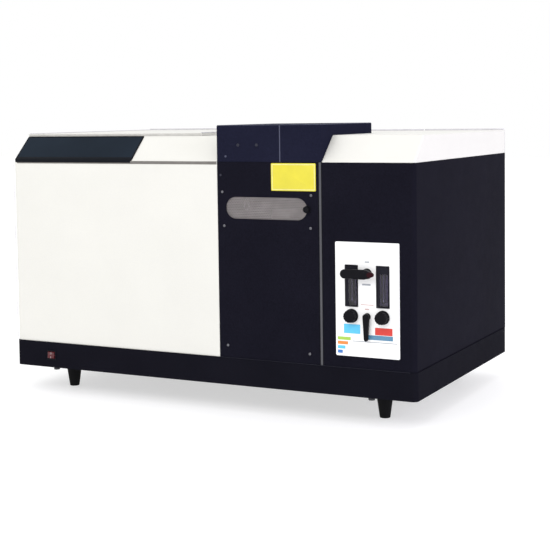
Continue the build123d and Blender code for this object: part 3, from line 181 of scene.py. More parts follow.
def surface(
    name, colour, roughness, metallic=0, tint=0.08, mottle=9, grain=1400, grain_depth=0.02,
    grain_stretch=(1, 1, 1), rough_spread=0.08, edge_radius=0.8, edge_wear_and_shade=0.35, edge_wear_and_shade_colour=None,
    settings=None, fleck=0,
):
    """A finish with mottled colour, uneven gloss, a fine grain and rounded edges, rubbed lighter by default and
    darkened as painted shade where a darker edge colour is given.

    Edge radius and grain depth are in millimetres, mottle and grain in cells per metre. Fleck is
    how far the colour varies from one speck of a powder coat to the next.
    """
    material = bpy.data.materials.new(name)
    material.use_nodes = True
    tree = material.node_tree
    shader = tree.nodes["Principled BSDF"]
    patches = spread(tree, noise(tree, mottle), 0, 1)
    mottled = blend(tree, patches, shade(colour, 1 - tint), shade(colour, 1 + tint))
    if fleck:
        specks = spread(tree, noise(tree, fleck_scale, detail=1), 0, 1, 0.4, 0.65)
        fleck_colour = (*shade((1, 1, 1), 1 - fleck), 1)
        mottled = add_node(
            tree,
            "ShaderNodeMix",
            {"Factor": specks, FIRST_COLOUR: mottled, SECOND_COLOUR: fleck_colour},
            data_type="RGBA",
            blend_type="MULTIPLY",
        ).outputs[MIXED_COLOUR]
    smudge = noise(tree, mottle * 5, detail=6)
    rounded = add_node(tree, "ShaderNodeBevel", {"Radius": edge_radius * MM}, samples=4)
    edges = edge_mask(tree, rounded.outputs["Normal"])
    # Edges in patches: rubbed wear on most finishes, painted shade on the white sheet
    patchy_edges = add_node(
        tree,
        "ShaderNodeMath",
        {0: edges, 1: spread(tree, noise(tree, edge_patch_scale), 0, edge_wear_and_shade, 0.4, 0.75)},
        operation="MULTIPLY",
    )
    worn_and_shaded = blend(tree, patchy_edges.outputs["Value"], mottled, edge_wear_and_shade_colour or shade(colour, 1.6))
    gloss = spread(tree, smudge, roughness - rough_spread / 2, roughness + rough_spread / 2)
    tree.links.new(worn_and_shaded, shader.inputs["Base Color"])
    tree.links.new(gloss, shader.inputs["Roughness"])
    shader.inputs["Metallic"].default_value = metallic
    bump = add_node(
        tree,
        "ShaderNodeBump",
        {
            "Height": noise(tree, grain, grain_stretch, detail=2),
            "Distance": grain_depth * MM,
            "Strength": 1,
            "Normal": rounded.outputs["Normal"],
        },
    )
    tree.links.new(bump.outputs["Normal"], shader.inputs["Normal"])
    for key, value in (settings or {}).items():
        shader.inputs[key].default_value = value
    finishes[name] = material


def clear(name, colour, roughness, ior, gloss=0.5):
    """A see-through finish with faint smears in its gloss."""
    surface(
        name, colour, roughness, tint=0.03, mottle=14, grain=500, grain_depth=0.003,
        rough_spread=roughness, edge_wear_and_shade=0,
        settings={"Transmission Weight": 1, "IOR": ior, "Specular IOR Level": gloss},
    )


brushed_up = (1, 1, 0.02)
brushed_across = (0.03, 1, 1)
dull = {"Specular IOR Level": 0.002}
satin = {"Specular IOR Level": 0.06}
window_gloss = {"Specular IOR Level": 0.04}
powder_coat = {"grain": 1100, "grain_depth": 0.03, "settings": dull, "fleck": 0.5}
moulded = {"grain": 1600, "mottle": 60, "settings": satin}

# Finishes of the record's material slots
surface("black_panel", (0.0105, 0.0102, 0.0172), 0.36, **powder_coat)
# The white sheet's edges turn grey in a band 2.2 mm wide: painted shade along every edge
surface(
    "white_panel", (0.7, 0.693, 0.652), 0.4, tint=0.015, grain=1100, grain_depth=0.03, edge_radius=2.2,
    edge_wear_and_shade=0.8, edge_wear_and_shade_colour=(0.42, 0.41, 0.39), fleck=0.04,
)
surface("hood_paint", (0.0148, 0.0158, 0.0335), 0.4, **powder_coat)
surface(
    "plinth_paint", (0.0096, 0.0094, 0.0145), 0.42, grain=900, edge_wear_and_shade=0.6, settings=dull, fleck=0.5
)
surface(
    "bare_strip", (0.1, 0.1, 0.11), 0.4, 0.9, grain=1500, grain_stretch=brushed_up, grain_depth=0.05
)
surface("mesh_steel", (0.3, 0.275, 0.275), 0.45, 0.7, mottle=40, tint=0.15)
surface(
    "bench_alloy", (0.5, 0.51, 0.53), 0.45, 0.9, tint=0.04, grain=1200, rough_spread=0.03,
    grain_stretch=brushed_across,
)
surface("machined_steel", (0.5, 0.5, 0.52), 0.28, 1, grain=2200)
surface("screw_steel", (0.16, 0.16, 0.175), 0.4, 1, mottle=300, tint=0.2)
surface(
    "tinted_window", (0.0095, 0.0155, 0.0245), 0.14, tint=0.25, mottle=4, grain=300,
    grain_depth=0.004, edge_wear_and_shade=0.1, settings=window_gloss,
)
surface("fascia_film", (0.9, 0.9, 0.9), 0.3, tint=0.01, grain=1800, grain_depth=0.01, edge_wear_and_shade=0.1)
surface("knob_plastic", (0.006, 0.006, 0.008), 0.4, **moulded)
surface("frame_plastic", (0.012, 0.011, 0.016), 0.4, **moulded)
clear("clear_block", (0.5, 0.45, 0.66), 0.06, 1.49, 0.1)
surface("float_steel", (0.6, 0.6, 0.6), 0.2, 1, mottle=200)
surface("rocker_red", (0.075, 0.0045, 0.008), 0.3, mottle=80, grain=1500)
surface(
    "foot_rubber", (0.007, 0.007, 0.008), 0.7, mottle=60, grain=2400, grain_depth=0.05, settings=satin
)
clear("lamp_glass", (0.93, 0.95, 0.96), 0.03, 1.47)
clear("lens_glass", (0.95, 0.97, 0.98), 0.02, 1.52)
surface("socket_plastic", (0.03, 0.024, 0.02), 0.38, mottle=60)
surface("housing_paint", (0.075, 0.08, 0.09), 0.45, grain=1100, fleck=0.25)
surface("chamber_polymer", (0.78, 0.78, 0.74), 0.36, mottle=30, tint=0.04)
surface(
    "burner_steel", (0.4, 0.36, 0.33), 0.33, 1, mottle=45, tint=0.35, grain_stretch=(0.05, 1, 1)
)
surface("carriage_alloy", (0.5, 0.51, 0.53), 0.36, 1, grain_stretch=(1, 1, 0.05))
surface("mirror_face", (0.9, 0.9, 0.9), 0.03, 1, rough_spread=0.02, grain_depth=0)
surface("grating_glass", (0.7, 0.73, 0.8), 0.12, 1, grain=4000, grain_stretch=(1, 1, 0.01))
surface("board_green", (0.02, 0.1, 0.045), 0.4, mottle=120, tint=0.3)
surface("fan_plastic", (0.014, 0.014, 0.015), 0.42, mottle=50)
surface("inlet_plastic", (0.014, 0.014, 0.015), 0.45, mottle=80)
surface("port_metal", (0.6, 0.6, 0.6), 0.3, 1, mottle=150)
surface("fitting_brass", (0.62, 0.45, 0.18), 0.26, 1, mottle=120, tint=0.15)
surface("pipe_copper", (0.72, 0.38, 0.24), 0.3, 1, mottle=60, tint=0.2)
surface("hinge_steel", (0.4, 0.4, 0.42), 0.34, 1, mottle=90)

# Finishes of the pieces that are only made here
surface("chip_black", (0.012, 0.012, 0.012), 0.5, mottle=200, grain=3000)
# Black of the flowmeters' bars and ticks, and the painted shade in the bench's bores and the supply's vent slots
surface("print_and_shade_black", (0.014, 0.014, 0.02), 0.45, mottle=200, settings=satin)
surface("print_grey", (0.33, 0.36, 0.4), 0.4, mottle=120)
surface("plate_yellow", (0.65, 0.57, 0.034), 0.32, mottle=40, tint=0.04, edge_wear_and_shade=0.1)
surface("plate_line", (0.75, 0.72, 0.3), 0.4, mottle=80)
surface("cathode_metal", (0.5, 0.48, 0.45), 0.3, 1, mottle=200)
for name, colour in (
    ("white_mark", (0.36, 0.32, 0.32)),
    ("label_sky", (0.1, 0.55, 0.85)),
    ("label_blue", (0.04, 0.17, 0.5)),
    ("label_red", (0.62, 0.036, 0.025)),
    ("label_green", (0.36, 0.58, 0.07)),
    ("label_orange", (0.76, 0.24, 0.04)),
):
    surface(name, colour, 0.35, mottle=100, tint=0.03)
surface("lever_tip", (0.024, 0.0045, 0.007), 0.4, mottle=100, settings=satin)
surface("print_teal", (0.09, 0.24, 0.38), 0.4, mottle=120, tint=0.05)
surface("print_rose", (0.62, 0.42, 0.4), 0.4, mottle=120, tint=0.05)
surface("meter_back", (0.24, 0.2, 0.34), 0.35, mottle=100, tint=0.1)
# Darker copy of the meter back: painted shadow of the gas lever on the left flowmeter
surface("lever_shadow_back", (0.07, 0.055, 0.1), 0.35, mottle=100, tint=0.1)
# Blue-grey of the hood's screw, and the painted highlights on the hood's seam and top edge
surface("strip_paint_and_highlight", (0.075, 0.08, 0.12), 0.4, mottle=100, settings=satin)
# Dark grey of screw heads, and the painted highlight along the plinth's top edge
surface("screw_grey_and_highlight", (0.035, 0.036, 0.05), 0.4, mottle=100, settings=satin)
# Brown-grey of the painted shadow in the gap under the lid's front edge
surface("lid_gap_shadow", (0.47, 0.46, 0.435), 0.6, mottle=60, tint=0.1)
# Brown-grey of the painted shadow in the seam at the foot of the left slope
surface("seam_shadow_grey", (0.143, 0.134, 0.122), 0.6, mottle=60, tint=0.15)
# Grey of the painted shade along the edges of the lid, the roofs and the white sheet's corners
surface("edge_shade_grey", (0.6, 0.59, 0.62), 0.5, mottle=60)
# Black of the window's gasket and the rocker's frame, and the painted shade beside the bare strip and at the
# window's foot
surface("black_gasket_and_shade", (0.006, 0.007, 0.01), 0.6, mottle=90, settings=satin)
surface("bolt_black", (0.05, 0.05, 0.055), 0.5, 0.6, mottle=200)
surface("bay_paint", (0.03, 0.03, 0.034), 0.45, grain=1100, fleck=0.3)
surface("capacitor_sleeve", (0.02, 0.045, 0.12), 0.3, mottle=200)
surface("header_ivory", (0.6, 0.55, 0.42), 0.4, mottle=200, tint=0.05)

# The bay's walls are paler and the rocker's frame darker than other pieces of their slots
own_finishes = {"bay_walls": "bay_paint", "rocker_frame": "black_gasket_and_shade"}
for row in frame["record"]["subparts"]:
    cad_materials = frame["nodes"][row["node"]].data.materials
    cad_materials.clear()
    cad_materials.append(finishes[own_finishes.get(row["node"], row["material_slot"])])


# Meshes
def turned(profile, segments=40):
    """A closed solid turned round Z from pairs of radius and height."""
    shape = bmesh.new()
    points = [shape.verts.new((radius * MM, 0, height * MM)) for radius, height in profile]
    edges = [shape.edges.new(pair) for pair in zip(points, points[1:])]
    bmesh.ops.spin(
        shape, geom=points + edges, cent=(0, 0, 0), axis=(0, 0, 1), angle=math.tau, steps=segments
    )
    bmesh.ops.remove_doubles(shape, verts=shape.verts, dist=0.001 * MM)
    bmesh.ops.holes_fill(shape, edges=shape.edges)
    bmesh.ops.recalc_face_normals(shape, faces=shape.faces)
    return shape


def prism(outline, depth, bevel=0, segments=2):
    """An outline in millimetres raised by depth along Z, its sharp edges rounded by bevel."""
    shape = bmesh.new()
    face = shape.faces.new([shape.verts.new((x * MM, y * MM, 0)) for x, y in outline])
    raised = bmesh.ops.extrude_face_region(shape, geom=[face])
    lifted = [item for item in raised["geom"] if isinstance(item, bmesh.types.BMVert)]
    bmesh.ops.translate(shape, verts=lifted, vec=(0, 0, depth * MM))
    bmesh.ops.recalc_face_normals(shape, faces=shape.faces)
    if bevel:
        round_edges(shape, bevel, segments)
    return shape


def round_edges(shape, bevel, segments, angle=30):
    """Rounds every edge of a shape that is sharper than angle."""
    sharp = [
        edge
        for edge in shape.edges
        if len(edge.link_faces) == 2 and edge.calc_face_angle() > math.radians(angle)
    ]
    bmesh.ops.bevel(
        shape, geom=sharp, offset=bevel * MM, segments=segments, affect="EDGES", profile=0.5
    )


def rectangle(width, height):
    """The corners of a rectangle about the origin."""
    x, y = width / 2, height / 2
    return [(-x, -y), (x, -y), (x, y), (-x, y)]


def ring(radius, sides, start=0):
    """The corners of a regular polygon about the origin."""
    angles = [start + math.tau * side / sides for side in range(sides)]
    return [(radius * math.cos(angle), radius * math.sin(angle)) for angle in angles]


def joined(*shapes):
    """One shape made of several."""
    whole = bmesh.new()
    for shape in shapes:
        mesh = bpy.data.meshes.new("part")
        shape.to_mesh(mesh)
        shape.free()
        whole.from_mesh(mesh)
        bpy.data.meshes.remove(mesh)
    return whole


def moved(shape, matrix):
    """The shape after a matrix."""
    bmesh.ops.transform(shape, matrix=matrix, verts=shape.verts)
    return shape


def placed(shape, place, turn=UP):
    """The shape turned about the origin and moved to place."""
    return moved(shape, Matrix.Translation(place) @ turn)


def facing(shape, place):
    """The shape turned so that its Z faces the front, and moved to place."""
    return placed(shape, place, FRONT)


def lifted_by(height, shape):
    """The shape moved up its own Z by a height in millimetres."""
    return placed(shape, (0, 0, height * MM))


def lofted(sections, looped=False):
    """A closed solid through rings of equally many points; looped, it closes on its first ring."""
    shape = bmesh.new()
    rings = [
        [shape.verts.new((x * MM, y * MM, z * MM)) for x, y, z in section] for section in sections
    ]
    pairs = list(zip(rings, rings[1:]))
    if looped:
        pairs.append((rings[-1], rings[0]))
    for first, second in pairs:
        for index in range(len(first)):
            after = (index + 1) % len(first)
            shape.faces.new((first[index], first[after], second[after], second[index]))
    if not looped:
        shape.faces.new(rings[0])
        shape.faces.new(rings[-1])
    bmesh.ops.recalc_face_normals(shape, faces=shape.faces)
    return shape


def level(outline, height):
    """An outline lifted to a height."""
    return [(x, y, height) for x, y in outline]


def rounded_rectangle(width, height, radius, steps=4):
    """The corners of a rectangle about the origin whose corners are rounded."""
    points = []
    for turn, (side_x, side_y) in enumerate(((1, 1), (-1, 1), (-1, -1), (1, -1))):
        for step in range(steps + 1):
            angle = math.pi / 2 * (turn + step / steps)
            points.append(
                (
                    side_x * (width / 2 - radius) + radius * math.cos(angle),
                    side_y * (height / 2 - radius) + radius * math.sin(angle),
                )
            )
    return points


def framed(outer, inner, levels, lip=0):
    """A frame between two rounded rectangles, each a width, a height and a corner radius.

    Levels pair a height with how far both edges draw in there; lip sinks the inner edge.
    """
    sections = [
        level(rounded_rectangle(outer[0] - 2 * drawn, outer[1] - 2 * drawn, outer[2]), height)
        for height, drawn in levels
    ]
    sections += [
        level(
            rounded_rectangle(inner[0] + 2 * drawn, inner[1] + 2 * drawn, inner[2]),
            height - (lip if height == levels[-1][0] else 0),
        )
        for height, drawn in reversed(levels)
    ]
    return lofted(sections, looped=True)


def waved(radius, depth, lobes, per_lobe=8):
    """A round outline with shallow flutes in it."""
    points = []
    for index in range(lobes * per_lobe):
        angle = math.tau * index / (lobes * per_lobe)
        reach = radius - depth * (0.5 - 0.5 * math.cos(lobes * angle)) ** 2
        points.append((reach * math.cos(angle), reach * math.sin(angle)))
    return points


def hulled(circles, steps=32):
    """The outline drawn tight round circles, given as X, Y and radius."""
    cloud = [
        (x + radius * math.cos(angle), y + radius * math.sin(angle))
        for x, y, radius in circles
        for angle in [math.tau * step / steps for step in range(steps)]
    ]
    return [cloud[index] for index in convex_hull_2d(cloud)]


def fluted_knob(radius, height, flute, lobes):
    """A knob on Z = 0 with a round skirt, a fluted grip and a dished top."""
    steps = (
        (0.95, 0, 0), (1, 0, 0.03), (1, 0, 0.16), (0.96, 0, 0.2), (0.93, 1, 0.25),
        (0.91, 1, 0.82), (0.87, 0.8, 0.93), (0.79, 0.3, 0.99), (0.68, 0, 1), (0.64, 0, 0.96),
    )
    return lofted([level(waved(radius * r, flute * f, lobes), height * h) for r, f, h in steps])


def screw_head(radius, height, dome=0.35):
    """A pan head with a sunk middle; its foot reaches a little below Z = 0."""
    profile = [
        (0, -0.4), (radius * 0.98, -0.4), (radius, 0), (radius * 0.96, height * (1 - dome)),
        (radius * 0.78, height * 0.92), (radius * 0.45, height), (radius * 0.2, height),
        (radius * 0.12, height * 0.5), (0, height * 0.45),
    ]
    return turned(profile, 24)


def mesh_of(name, shape, smooth_angle=35):
    """The mesh of a shape, shaded smooth but for its sharp edges."""
    mesh = bpy.data.meshes.new(name)
    shape.to_mesh(mesh)
    shape.free()
    mesh.polygons.foreach_set("use_smooth", [True] * len(mesh.polygons))
    mesh.set_sharp_from_angle(angle=math.radians(smooth_angle))
    return mesh


def linked(name, mesh):
    """An object in the scene that holds a mesh."""
    made = bpy.data.objects.new(name, mesh)
    bpy.context.scene.collection.objects.link(made)
    return made


def ride_on(made, body, replaces):
    """Sets the body that a piece rides on and the CAD nodes that it stands for."""
    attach(made, body)
    if replaces:
        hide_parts(*replaces)


def piece(name, shape, finish, body="root", replaces=()):
    """A finished piece of the scene; its one slot holds its finish."""
    mesh = mesh_of(name, shape)
    mesh.materials.append(finishes[finish])
    ride_on(linked(name, mesh), body, replaces)


def copies(name, shape, places, turn, finish, body="root", replaces=()):
    """Copies of a shape at places, set out by Geometry Nodes and then made one plain mesh."""
    shape_object = linked(name + "_shape", mesh_of(name + "_shape", shape))
    point_mesh = bpy.data.meshes.new(name + "_places")
    point_mesh.from_pydata([tuple(place) for place in places], [], [])
    host = linked(name + "_places", point_mesh)

    tree = bpy.data.node_groups.new(name + "_copies", "GeometryNodeTree")
    tree.interface.new_socket("Geometry", in_out="INPUT", socket_type="NodeSocketGeometry")
    shape_socket, turn_socket, size_socket = (
        tree.interface.new_socket(label, in_out="INPUT", socket_type=kind)
        for label, kind in (
            ("Shape", "NodeSocketObject"),
            ("Turn", "NodeSocketVector"),
            ("Size", "NodeSocketFloat"),
        )
    )
    tree.interface.new_socket("Geometry", in_out="OUTPUT", socket_type="NodeSocketGeometry")
    given = add_node(tree, "NodeGroupInput")
    source = add_node(tree, "GeometryNodeObjectInfo", {"Object": given.outputs["Shape"]})
    angles = add_node(tree, "FunctionNodeEulerToRotation", {"Euler": given.outputs["Turn"]})
    set_out = add_node(
        tree,
        "GeometryNodeInstanceOnPoints",
        {
            "Points": given.outputs["Geometry"],
            "Instance": source.outputs["Geometry"],
            "Rotation": angles.outputs["Rotation"],
            "Scale": given.outputs["Size"],
        },
    )
    solid = add_node(tree, "GeometryNodeRealizeInstances", {"Geometry": set_out.outputs["Instances"]})
    coloured = add_node(
        tree,
        "GeometryNodeSetMaterial",
        {"Geometry": solid.outputs["Geometry"], "Material": finishes[finish]},
    )
    add_node(tree, "NodeGroupOutput", {"Geometry": coloured.outputs["Geometry"]})

    modifier = host.modifiers.new(name, "NODES")
    modifier.node_group = tree
    modifier[shape_socket.identifier] = shape_object
    modifier[turn_socket.identifier] = tuple(turn.to_euler())
    modifier[size_socket.identifier] = 1.0
    bpy.context.view_layer.update()
    graph = bpy.context.evaluated_depsgraph_get()
    mesh = bpy.data.meshes.new_from_object(host.evaluated_get(graph), depsgraph=graph)
    mesh.name = name
    made = linked(name, mesh)
    for each in (host, shape_object):
        bpy.data.objects.remove(each)
    ride_on(made, body, replaces)


# Feet: turned rubber with a collar, and hexagon bolts with washers
foot_radius = 18
foot_height = 58
collar_height = 1
foot = [
    (0, 0), (10.4, 0), (11, 0.4), (11.3, 1.2), (17.4, 45), (foot_radius, 46.5),
    (foot_radius, foot_height - collar_height), (17.4, foot_height), (0, foot_height),
]
foot_places = grid(drawn_in("feet", X, foot_radius), drawn_in("feet", Y, foot_radius), [0])
copies("rubber_feet", turned(foot), foot_places, UP, "foot_rubber", replaces=["feet"])

bolt_across = 13
washer_height = 1.6
washer = [(0, 0), (8, 0), (8.4, 0.3), (8.4, 1.4), (8, washer_height), (0, washer_height)]
bolt_head = prism(ring(bolt_across / 2 / math.cos(math.pi / 6), 6), depth=5.4, bevel=0.5)
bolt = joined(lifted_by(washer_height, bolt_head), turned(washer))
bolt_x, bolt_y = (drawn_in("base_bolts", axis, bolt_across / 2) for axis in (X, Y))
copies(
    "plinth_bolts", bolt, grid(bolt_x, bolt_y, [base_bottom]), DOWN, "bolt_black",
    replaces=["base_bolts"],
)

# Screws in the burner panel and the hood's front, each place an X and a Z
panel_screws = (
    (0.0613, 0.4758), (0.0652, 0.403), (0.2716, 0.4714), (0.27, 0.403), (0.0696, 0.1439), (0.265, 0.139)
)
for name, head, places, finish, body, slot in (
    ("panel_screw_heads", screw_head(3, 1.6), panel_screws, "screw_steel", "root", "screw_steel"),
    ("panel_dark_screw", screw_head(2.6, 1.5), [(0.0578, 0.5119)], "screw_grey_and_highlight", "root", "black_panel"),
    ("hood_screw_head", screw_head(2.4, 1.4), [(0.0706, 0.5519)], "strip_paint_and_highlight", "hood", "hood_paint"),
    (
        "hood_dome_heads", screw_head(3.6, 1.8, dome=0.6), [(0.1012, 0.5762), (0.1457, 0.5761)],
        "screw_grey_and_highlight", "hood", "hood_paint",
    ),
):
    copies(name, head, [(x, front_y, z) for x, z in places], FRONT, finish, body)


# Perforated screen behind the round-ended slot: six-sided cells round a hole each, and a border
def cell(pitch, hole, thickness):
    """One cell of a perforated sheet, its flats facing left and right."""
    hexagon = ring(pitch / math.sqrt(3), 6, math.pi / 6)
    outer = []
    for here, after in zip(hexagon, hexagon[1:] + hexagon[:1]):
        outer += [here, ((here[0] + after[0]) / 2, (here[1] + after[1]) / 2)]
    inner = ring(hole, len(outer), math.pi / 6)
    return lofted(
        [level(outer, 0), level(outer, thickness), level(inner, thickness), level(inner, 0)],
        looped=True,
    )


slot_x, slot_z = 0.1657, 0.442
slot_width, slot_height = 192.7, 46.5
screen_back = high("window_mesh").y
hole_pitch = 4.1
screen_margin = 3
row_pitch = hole_pitch * math.sqrt(3) / 2
screen_columns = math.ceil((slot_width + 2 * screen_margin) / hole_pitch)
screen_rows = math.ceil((slot_height + 2 * screen_margin) / row_pitch)
screen_places = [
    (x + row % 2 / 2 * hole_pitch * MM, screen_back, z)
    for row, z in enumerate(row_about(slot_z, row_pitch, screen_rows))
    for x in row_about(slot_x, hole_pitch, screen_columns)
]
copies(
    "window_screen", cell(hole_pitch, hole=1.35, thickness=1), screen_places, FRONT, "mesh_steel",
    replaces=["window_mesh"],
)
screen_width, _, screen_height = size("window_mesh")
screen_x, _, screen_z = middle("window_mesh")
border_thickness = 0.8
screen_border = framed(
    (screen_width, screen_height, 4), (slot_width + screen_margin, slot_height + screen_margin, 2),
    [(0, 0), (border_thickness, 0)],
)
piece("screen_border", facing(screen_border, (screen_x, screen_back, screen_z)), "mesh_steel")

# Round catch at the slot's right end
catch = fluted_knob(radius=8, height=9, flute=0.7, lobes=16)
piece(
    "screen_catch", facing(catch, pivots["mesh_catch_turn"]), "knob_plastic", "mesh_catch",
    replaces=["mesh_knob"],
)

# Bare yellow plate with a thin border
plate_place = (0.23125, front_y, 0.509)
plate_size = (103.5, 58)
border_inset = 2
border_width = 1.7
plate = prism(rounded_rectangle(*plate_size, 2), depth=0.9, bevel=0.25)
piece("yellow_plate", facing(plate, plate_place), "plate_yellow")
border_outer = [length - 2 * border_inset for length in plate_size]
border_inner = [length - 2 * border_width for length in border_outer]
plate_border = framed((*border_outer, 1.5), (*border_inner, 1), [(0.7, 0), (1, 0)])
piece("yellow_plate_border", facing(plate_border, plate_place), "plate_line")

# Seam between two panels of the hood's front, drawn as a lighter strip: painted highlight along the seam
strip_x = 0.2005
strip_low = 0.5405
strip_width = 2.5
strip_height = (hood_top - strip_low) / MM - 1
strip = prism(rounded_rectangle(strip_width, strip_height, 0.4, steps=2), depth=0.5, bevel=0.15)
strip_z = strip_low + strip_height / 2 * MM
piece("hood_seam_strip", facing(strip, (strip_x, front_y, strip_z)), "strip_paint_and_highlight", "hood")

# Painted shade down both sides of the bare strip: thin dark strips laid on its face
edge_shadow_width = 1.3
edge_shadow_height = size("bay_trim_strip").z - 0.4
for side, x in zip(("left", "right"), drawn_in("bay_trim_strip", X, edge_shadow_width / 2)):
    edge_shadow = prism(rectangle(edge_shadow_width, edge_shadow_height), depth=0.35)
    edge_shadow_place = (x, low("bay_trim_strip").y, middle("bay_trim_strip").z)
    piece(f"trim_groove_{side}", facing(edge_shadow, edge_shadow_place), "black_gasket_and_shade")

# Lighter strip along the plinth's top edge, under the black front: painted highlight of the edge
edge_highlight_width = 1.4
edge_highlight_sunk = 0.9
edge_highlight_end_gap = 14
edge_highlight_start = low("burner_front_panel").x
edge_highlight_end = high("base_tray").x - edge_highlight_end_gap * MM
bead = prism(rectangle((edge_highlight_end - edge_highlight_start) / MM, edge_highlight_width), depth=1.3, bevel=0.3)
edge_highlight_y = low("base_tray").y + edge_highlight_width / 2 * MM
edge_highlight_place = ((edge_highlight_start + edge_highlight_end) / 2, edge_highlight_y, base_top - edge_highlight_sunk * MM)
piece("plinth_bead", placed(bead, edge_highlight_place), "screw_grey_and_highlight")

# Lighter strip round the hood's top edge: painted reflection of the top, seen at a grazing angle
hood_front_y = low("burner_hood").y
hood_rear_y = -0.036
hood_width = size("burner_hood").x
hood_depth = (hood_rear_y - hood_front_y) / MM
hood_edge_highlight_inset = 0.5
hood_edge_highlight_width = 1.3
hood_outer = [length - 2 * hood_edge_highlight_inset for length in (hood_width, hood_depth)]
hood_inner = [length - 2 * hood_edge_highlight_width for length in hood_outer]
hood_bead = framed((*hood_outer, 1), (*hood_inner, 1), [(-0.4, 0), (0.5, 0), (0.8, 0.3)])
hood_place = (middle("burner_hood").x, (hood_front_y + hood_rear_y) / 2, hood_top)
piece("hood_bead", placed(hood_bead, hood_place), "strip_paint_and_highlight", "hood")

# Painted shadow of the seam at the foot of the left slope, a brown-grey strip on the front
seam_shift = 5
seam_drop = 2.3
seam = rounded_rectangle(size("left_shell").x - 12, height=6.6, radius=1.2)
seam = prism(seam, depth=0.5, bevel=0.15)
seam_place = (middle("left_shell").x + seam_shift * MM, front_y, shoulder - seam_drop * MM)
piece("slope_seam", facing(seam, seam_place), "seam_shadow_grey")

# Gasket round the window on the slope; along its foot a dark band of painted shade on the window and a dark lip,
# painted shadow of the seam below
slope_rise = 55
slope_run = 58
slope_length = math.hypot(slope_rise, slope_run)
slope_turn = Matrix.Rotation(math.atan2(slope_rise, slope_run), 4, "X")
slope_place = (
    middle("slope_window").x, front_y + slope_run / 2 * MM, shoulder + slope_rise / 2 * MM
)
window_width = size("slope_window").x
foot_band = 9
foot_band_gap = 2
lip_drop = 0.4
gasket = framed(
    (window_width + 3, slope_length - 2.5, 2), (window_width - 3, slope_length - 9, 1.5),
    [(0.1, 0), (1.6, 0), (2, 0.4)],
)
band = prism(rectangle(window_width - 2 * foot_band_gap, foot_band), depth=2.1, bevel=0.3)
band = placed(band, (0, ((foot_band - slope_length) / 2 + foot_band_gap) * MM, 0))
lip = rounded_rectangle(window_width - foot_band_gap, height=5.4, radius=0.6)
lip = prism(lip, depth=0.8, bevel=0.2)
lip_place = (slope_place[0], front_y, shoulder - lip_drop * MM)
for name, shape in (
    ("window_gasket", placed(gasket, slope_place, slope_turn)),
    ("window_foot_band", placed(band, slope_place, slope_turn)),
    ("window_foot_lip", facing(lip, lip_place)),
):
    piece(name, shape, "black_gasket_and_shade")

# Painted shadow in the gap under the lid's front edge, and grey strips of painted shade round the lid and behind
# the roofs
lid_low, lid_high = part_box("lamp_lid")
lid_x, lid_y, _ = middle("lamp_lid")
lid_width, lid_depth, _ = size("lamp_lid")
gap_shadow_drop = 2.6
edge_shade_height = 3.6
side_edge_shade_height = 1.5
edge_shade_width = 1.6
gap_shadow = prism(rounded_rectangle(lid_width - 4, height=4.6, radius=1.2), depth=0.6, bevel=0.2)
gap_shadow_place = (lid_x, lid_low.y, lid_low.z - gap_shadow_drop * MM)
piece("lid_gasket", facing(gap_shadow, gap_shadow_place), "lid_gap_shadow", "lid")


def edge_shade(width, depth, place, height=edge_shade_height):
    """A grey strip of painted shade along an edge; it stands on its place."""
    return placed(prism(rounded_rectangle(width, depth, edge_shade_width / 2.2), height, 0.5), place)


lid_hem = joined(
    *[
        edge_shade(edge_shade_width, lid_depth - 4, (x, lid_y, lid_high.z), side_edge_shade_height)
        for x in drawn_in("lamp_lid", X, edge_shade_width)
    ],
    edge_shade(lid_width - 3, edge_shade_width, (lid_x, lid_high.y - edge_shade_width * MM, lid_high.z)),
)
piece("lid_hem", lid_hem, "edge_shade_grey", "lid")
roof_top = high("right_roof").z
for side, node in (("bay", "bay_roof"), ("right", "right_roof")):
    edge_shade_place = (middle(node).x, high(node).y - edge_shade_width * MM, roof_top)
    roof_edge_shade = edge_shade(size(node).x - 2, edge_shade_width, edge_shade_place)
    piece(f"{side}_roof_hem", roof_edge_shade, "edge_shade_grey")

# Grey strips of painted shade on the white sheet's left front corner and on the roof's right rear corner
edge_width = 1.6
left_edge_gap = 10
left_edge_drop = 3
left_edge_height = (shoulder - base_top) / MM - left_edge_gap
left_edge = prism(rounded_rectangle(edge_width, left_edge_height, 0.6), depth=0.4, bevel=0.15)
left_edge_z = (base_top + shoulder) / 2 - left_edge_drop * MM
left_edge_place = (low("left_shell").x + edge_width / 2 * MM, front_y, left_edge_z)
piece("left_corner_edge", facing(left_edge, left_edge_place), "edge_shade_grey")
roof_edge = prism(rectangle((roof_top - shoulder) / MM - 1, edge_width), depth=0.4, bevel=0.15)
roof_corner = high("right_roof")
roof_edge_place = (roof_corner.x, roof_corner.y - edge_width * MM, (shoulder + roof_top) / 2)
piece(
    "right_roof_corner_edge", placed(roof_edge, roof_edge_place, RIGHT), "edge_shade_grey",
)

# Needle-valve knobs, each with a fluted grip on a round skirt
for side in ("left", "right"):
    knob = fluted_knob(radius=14.5, height=17.3, flute=1.3, lobes=14)
    piece(
        f"valve_knob_{side}", facing(knob, pivots[f"{side}_knob_turn"]), "knob_plastic",
        f"{side}_knob", replaces=[f"needle_knob_{side}"],
    )

# Levers
lever_thickness = 9
lever_edge = 2.4
edge_steps = 4


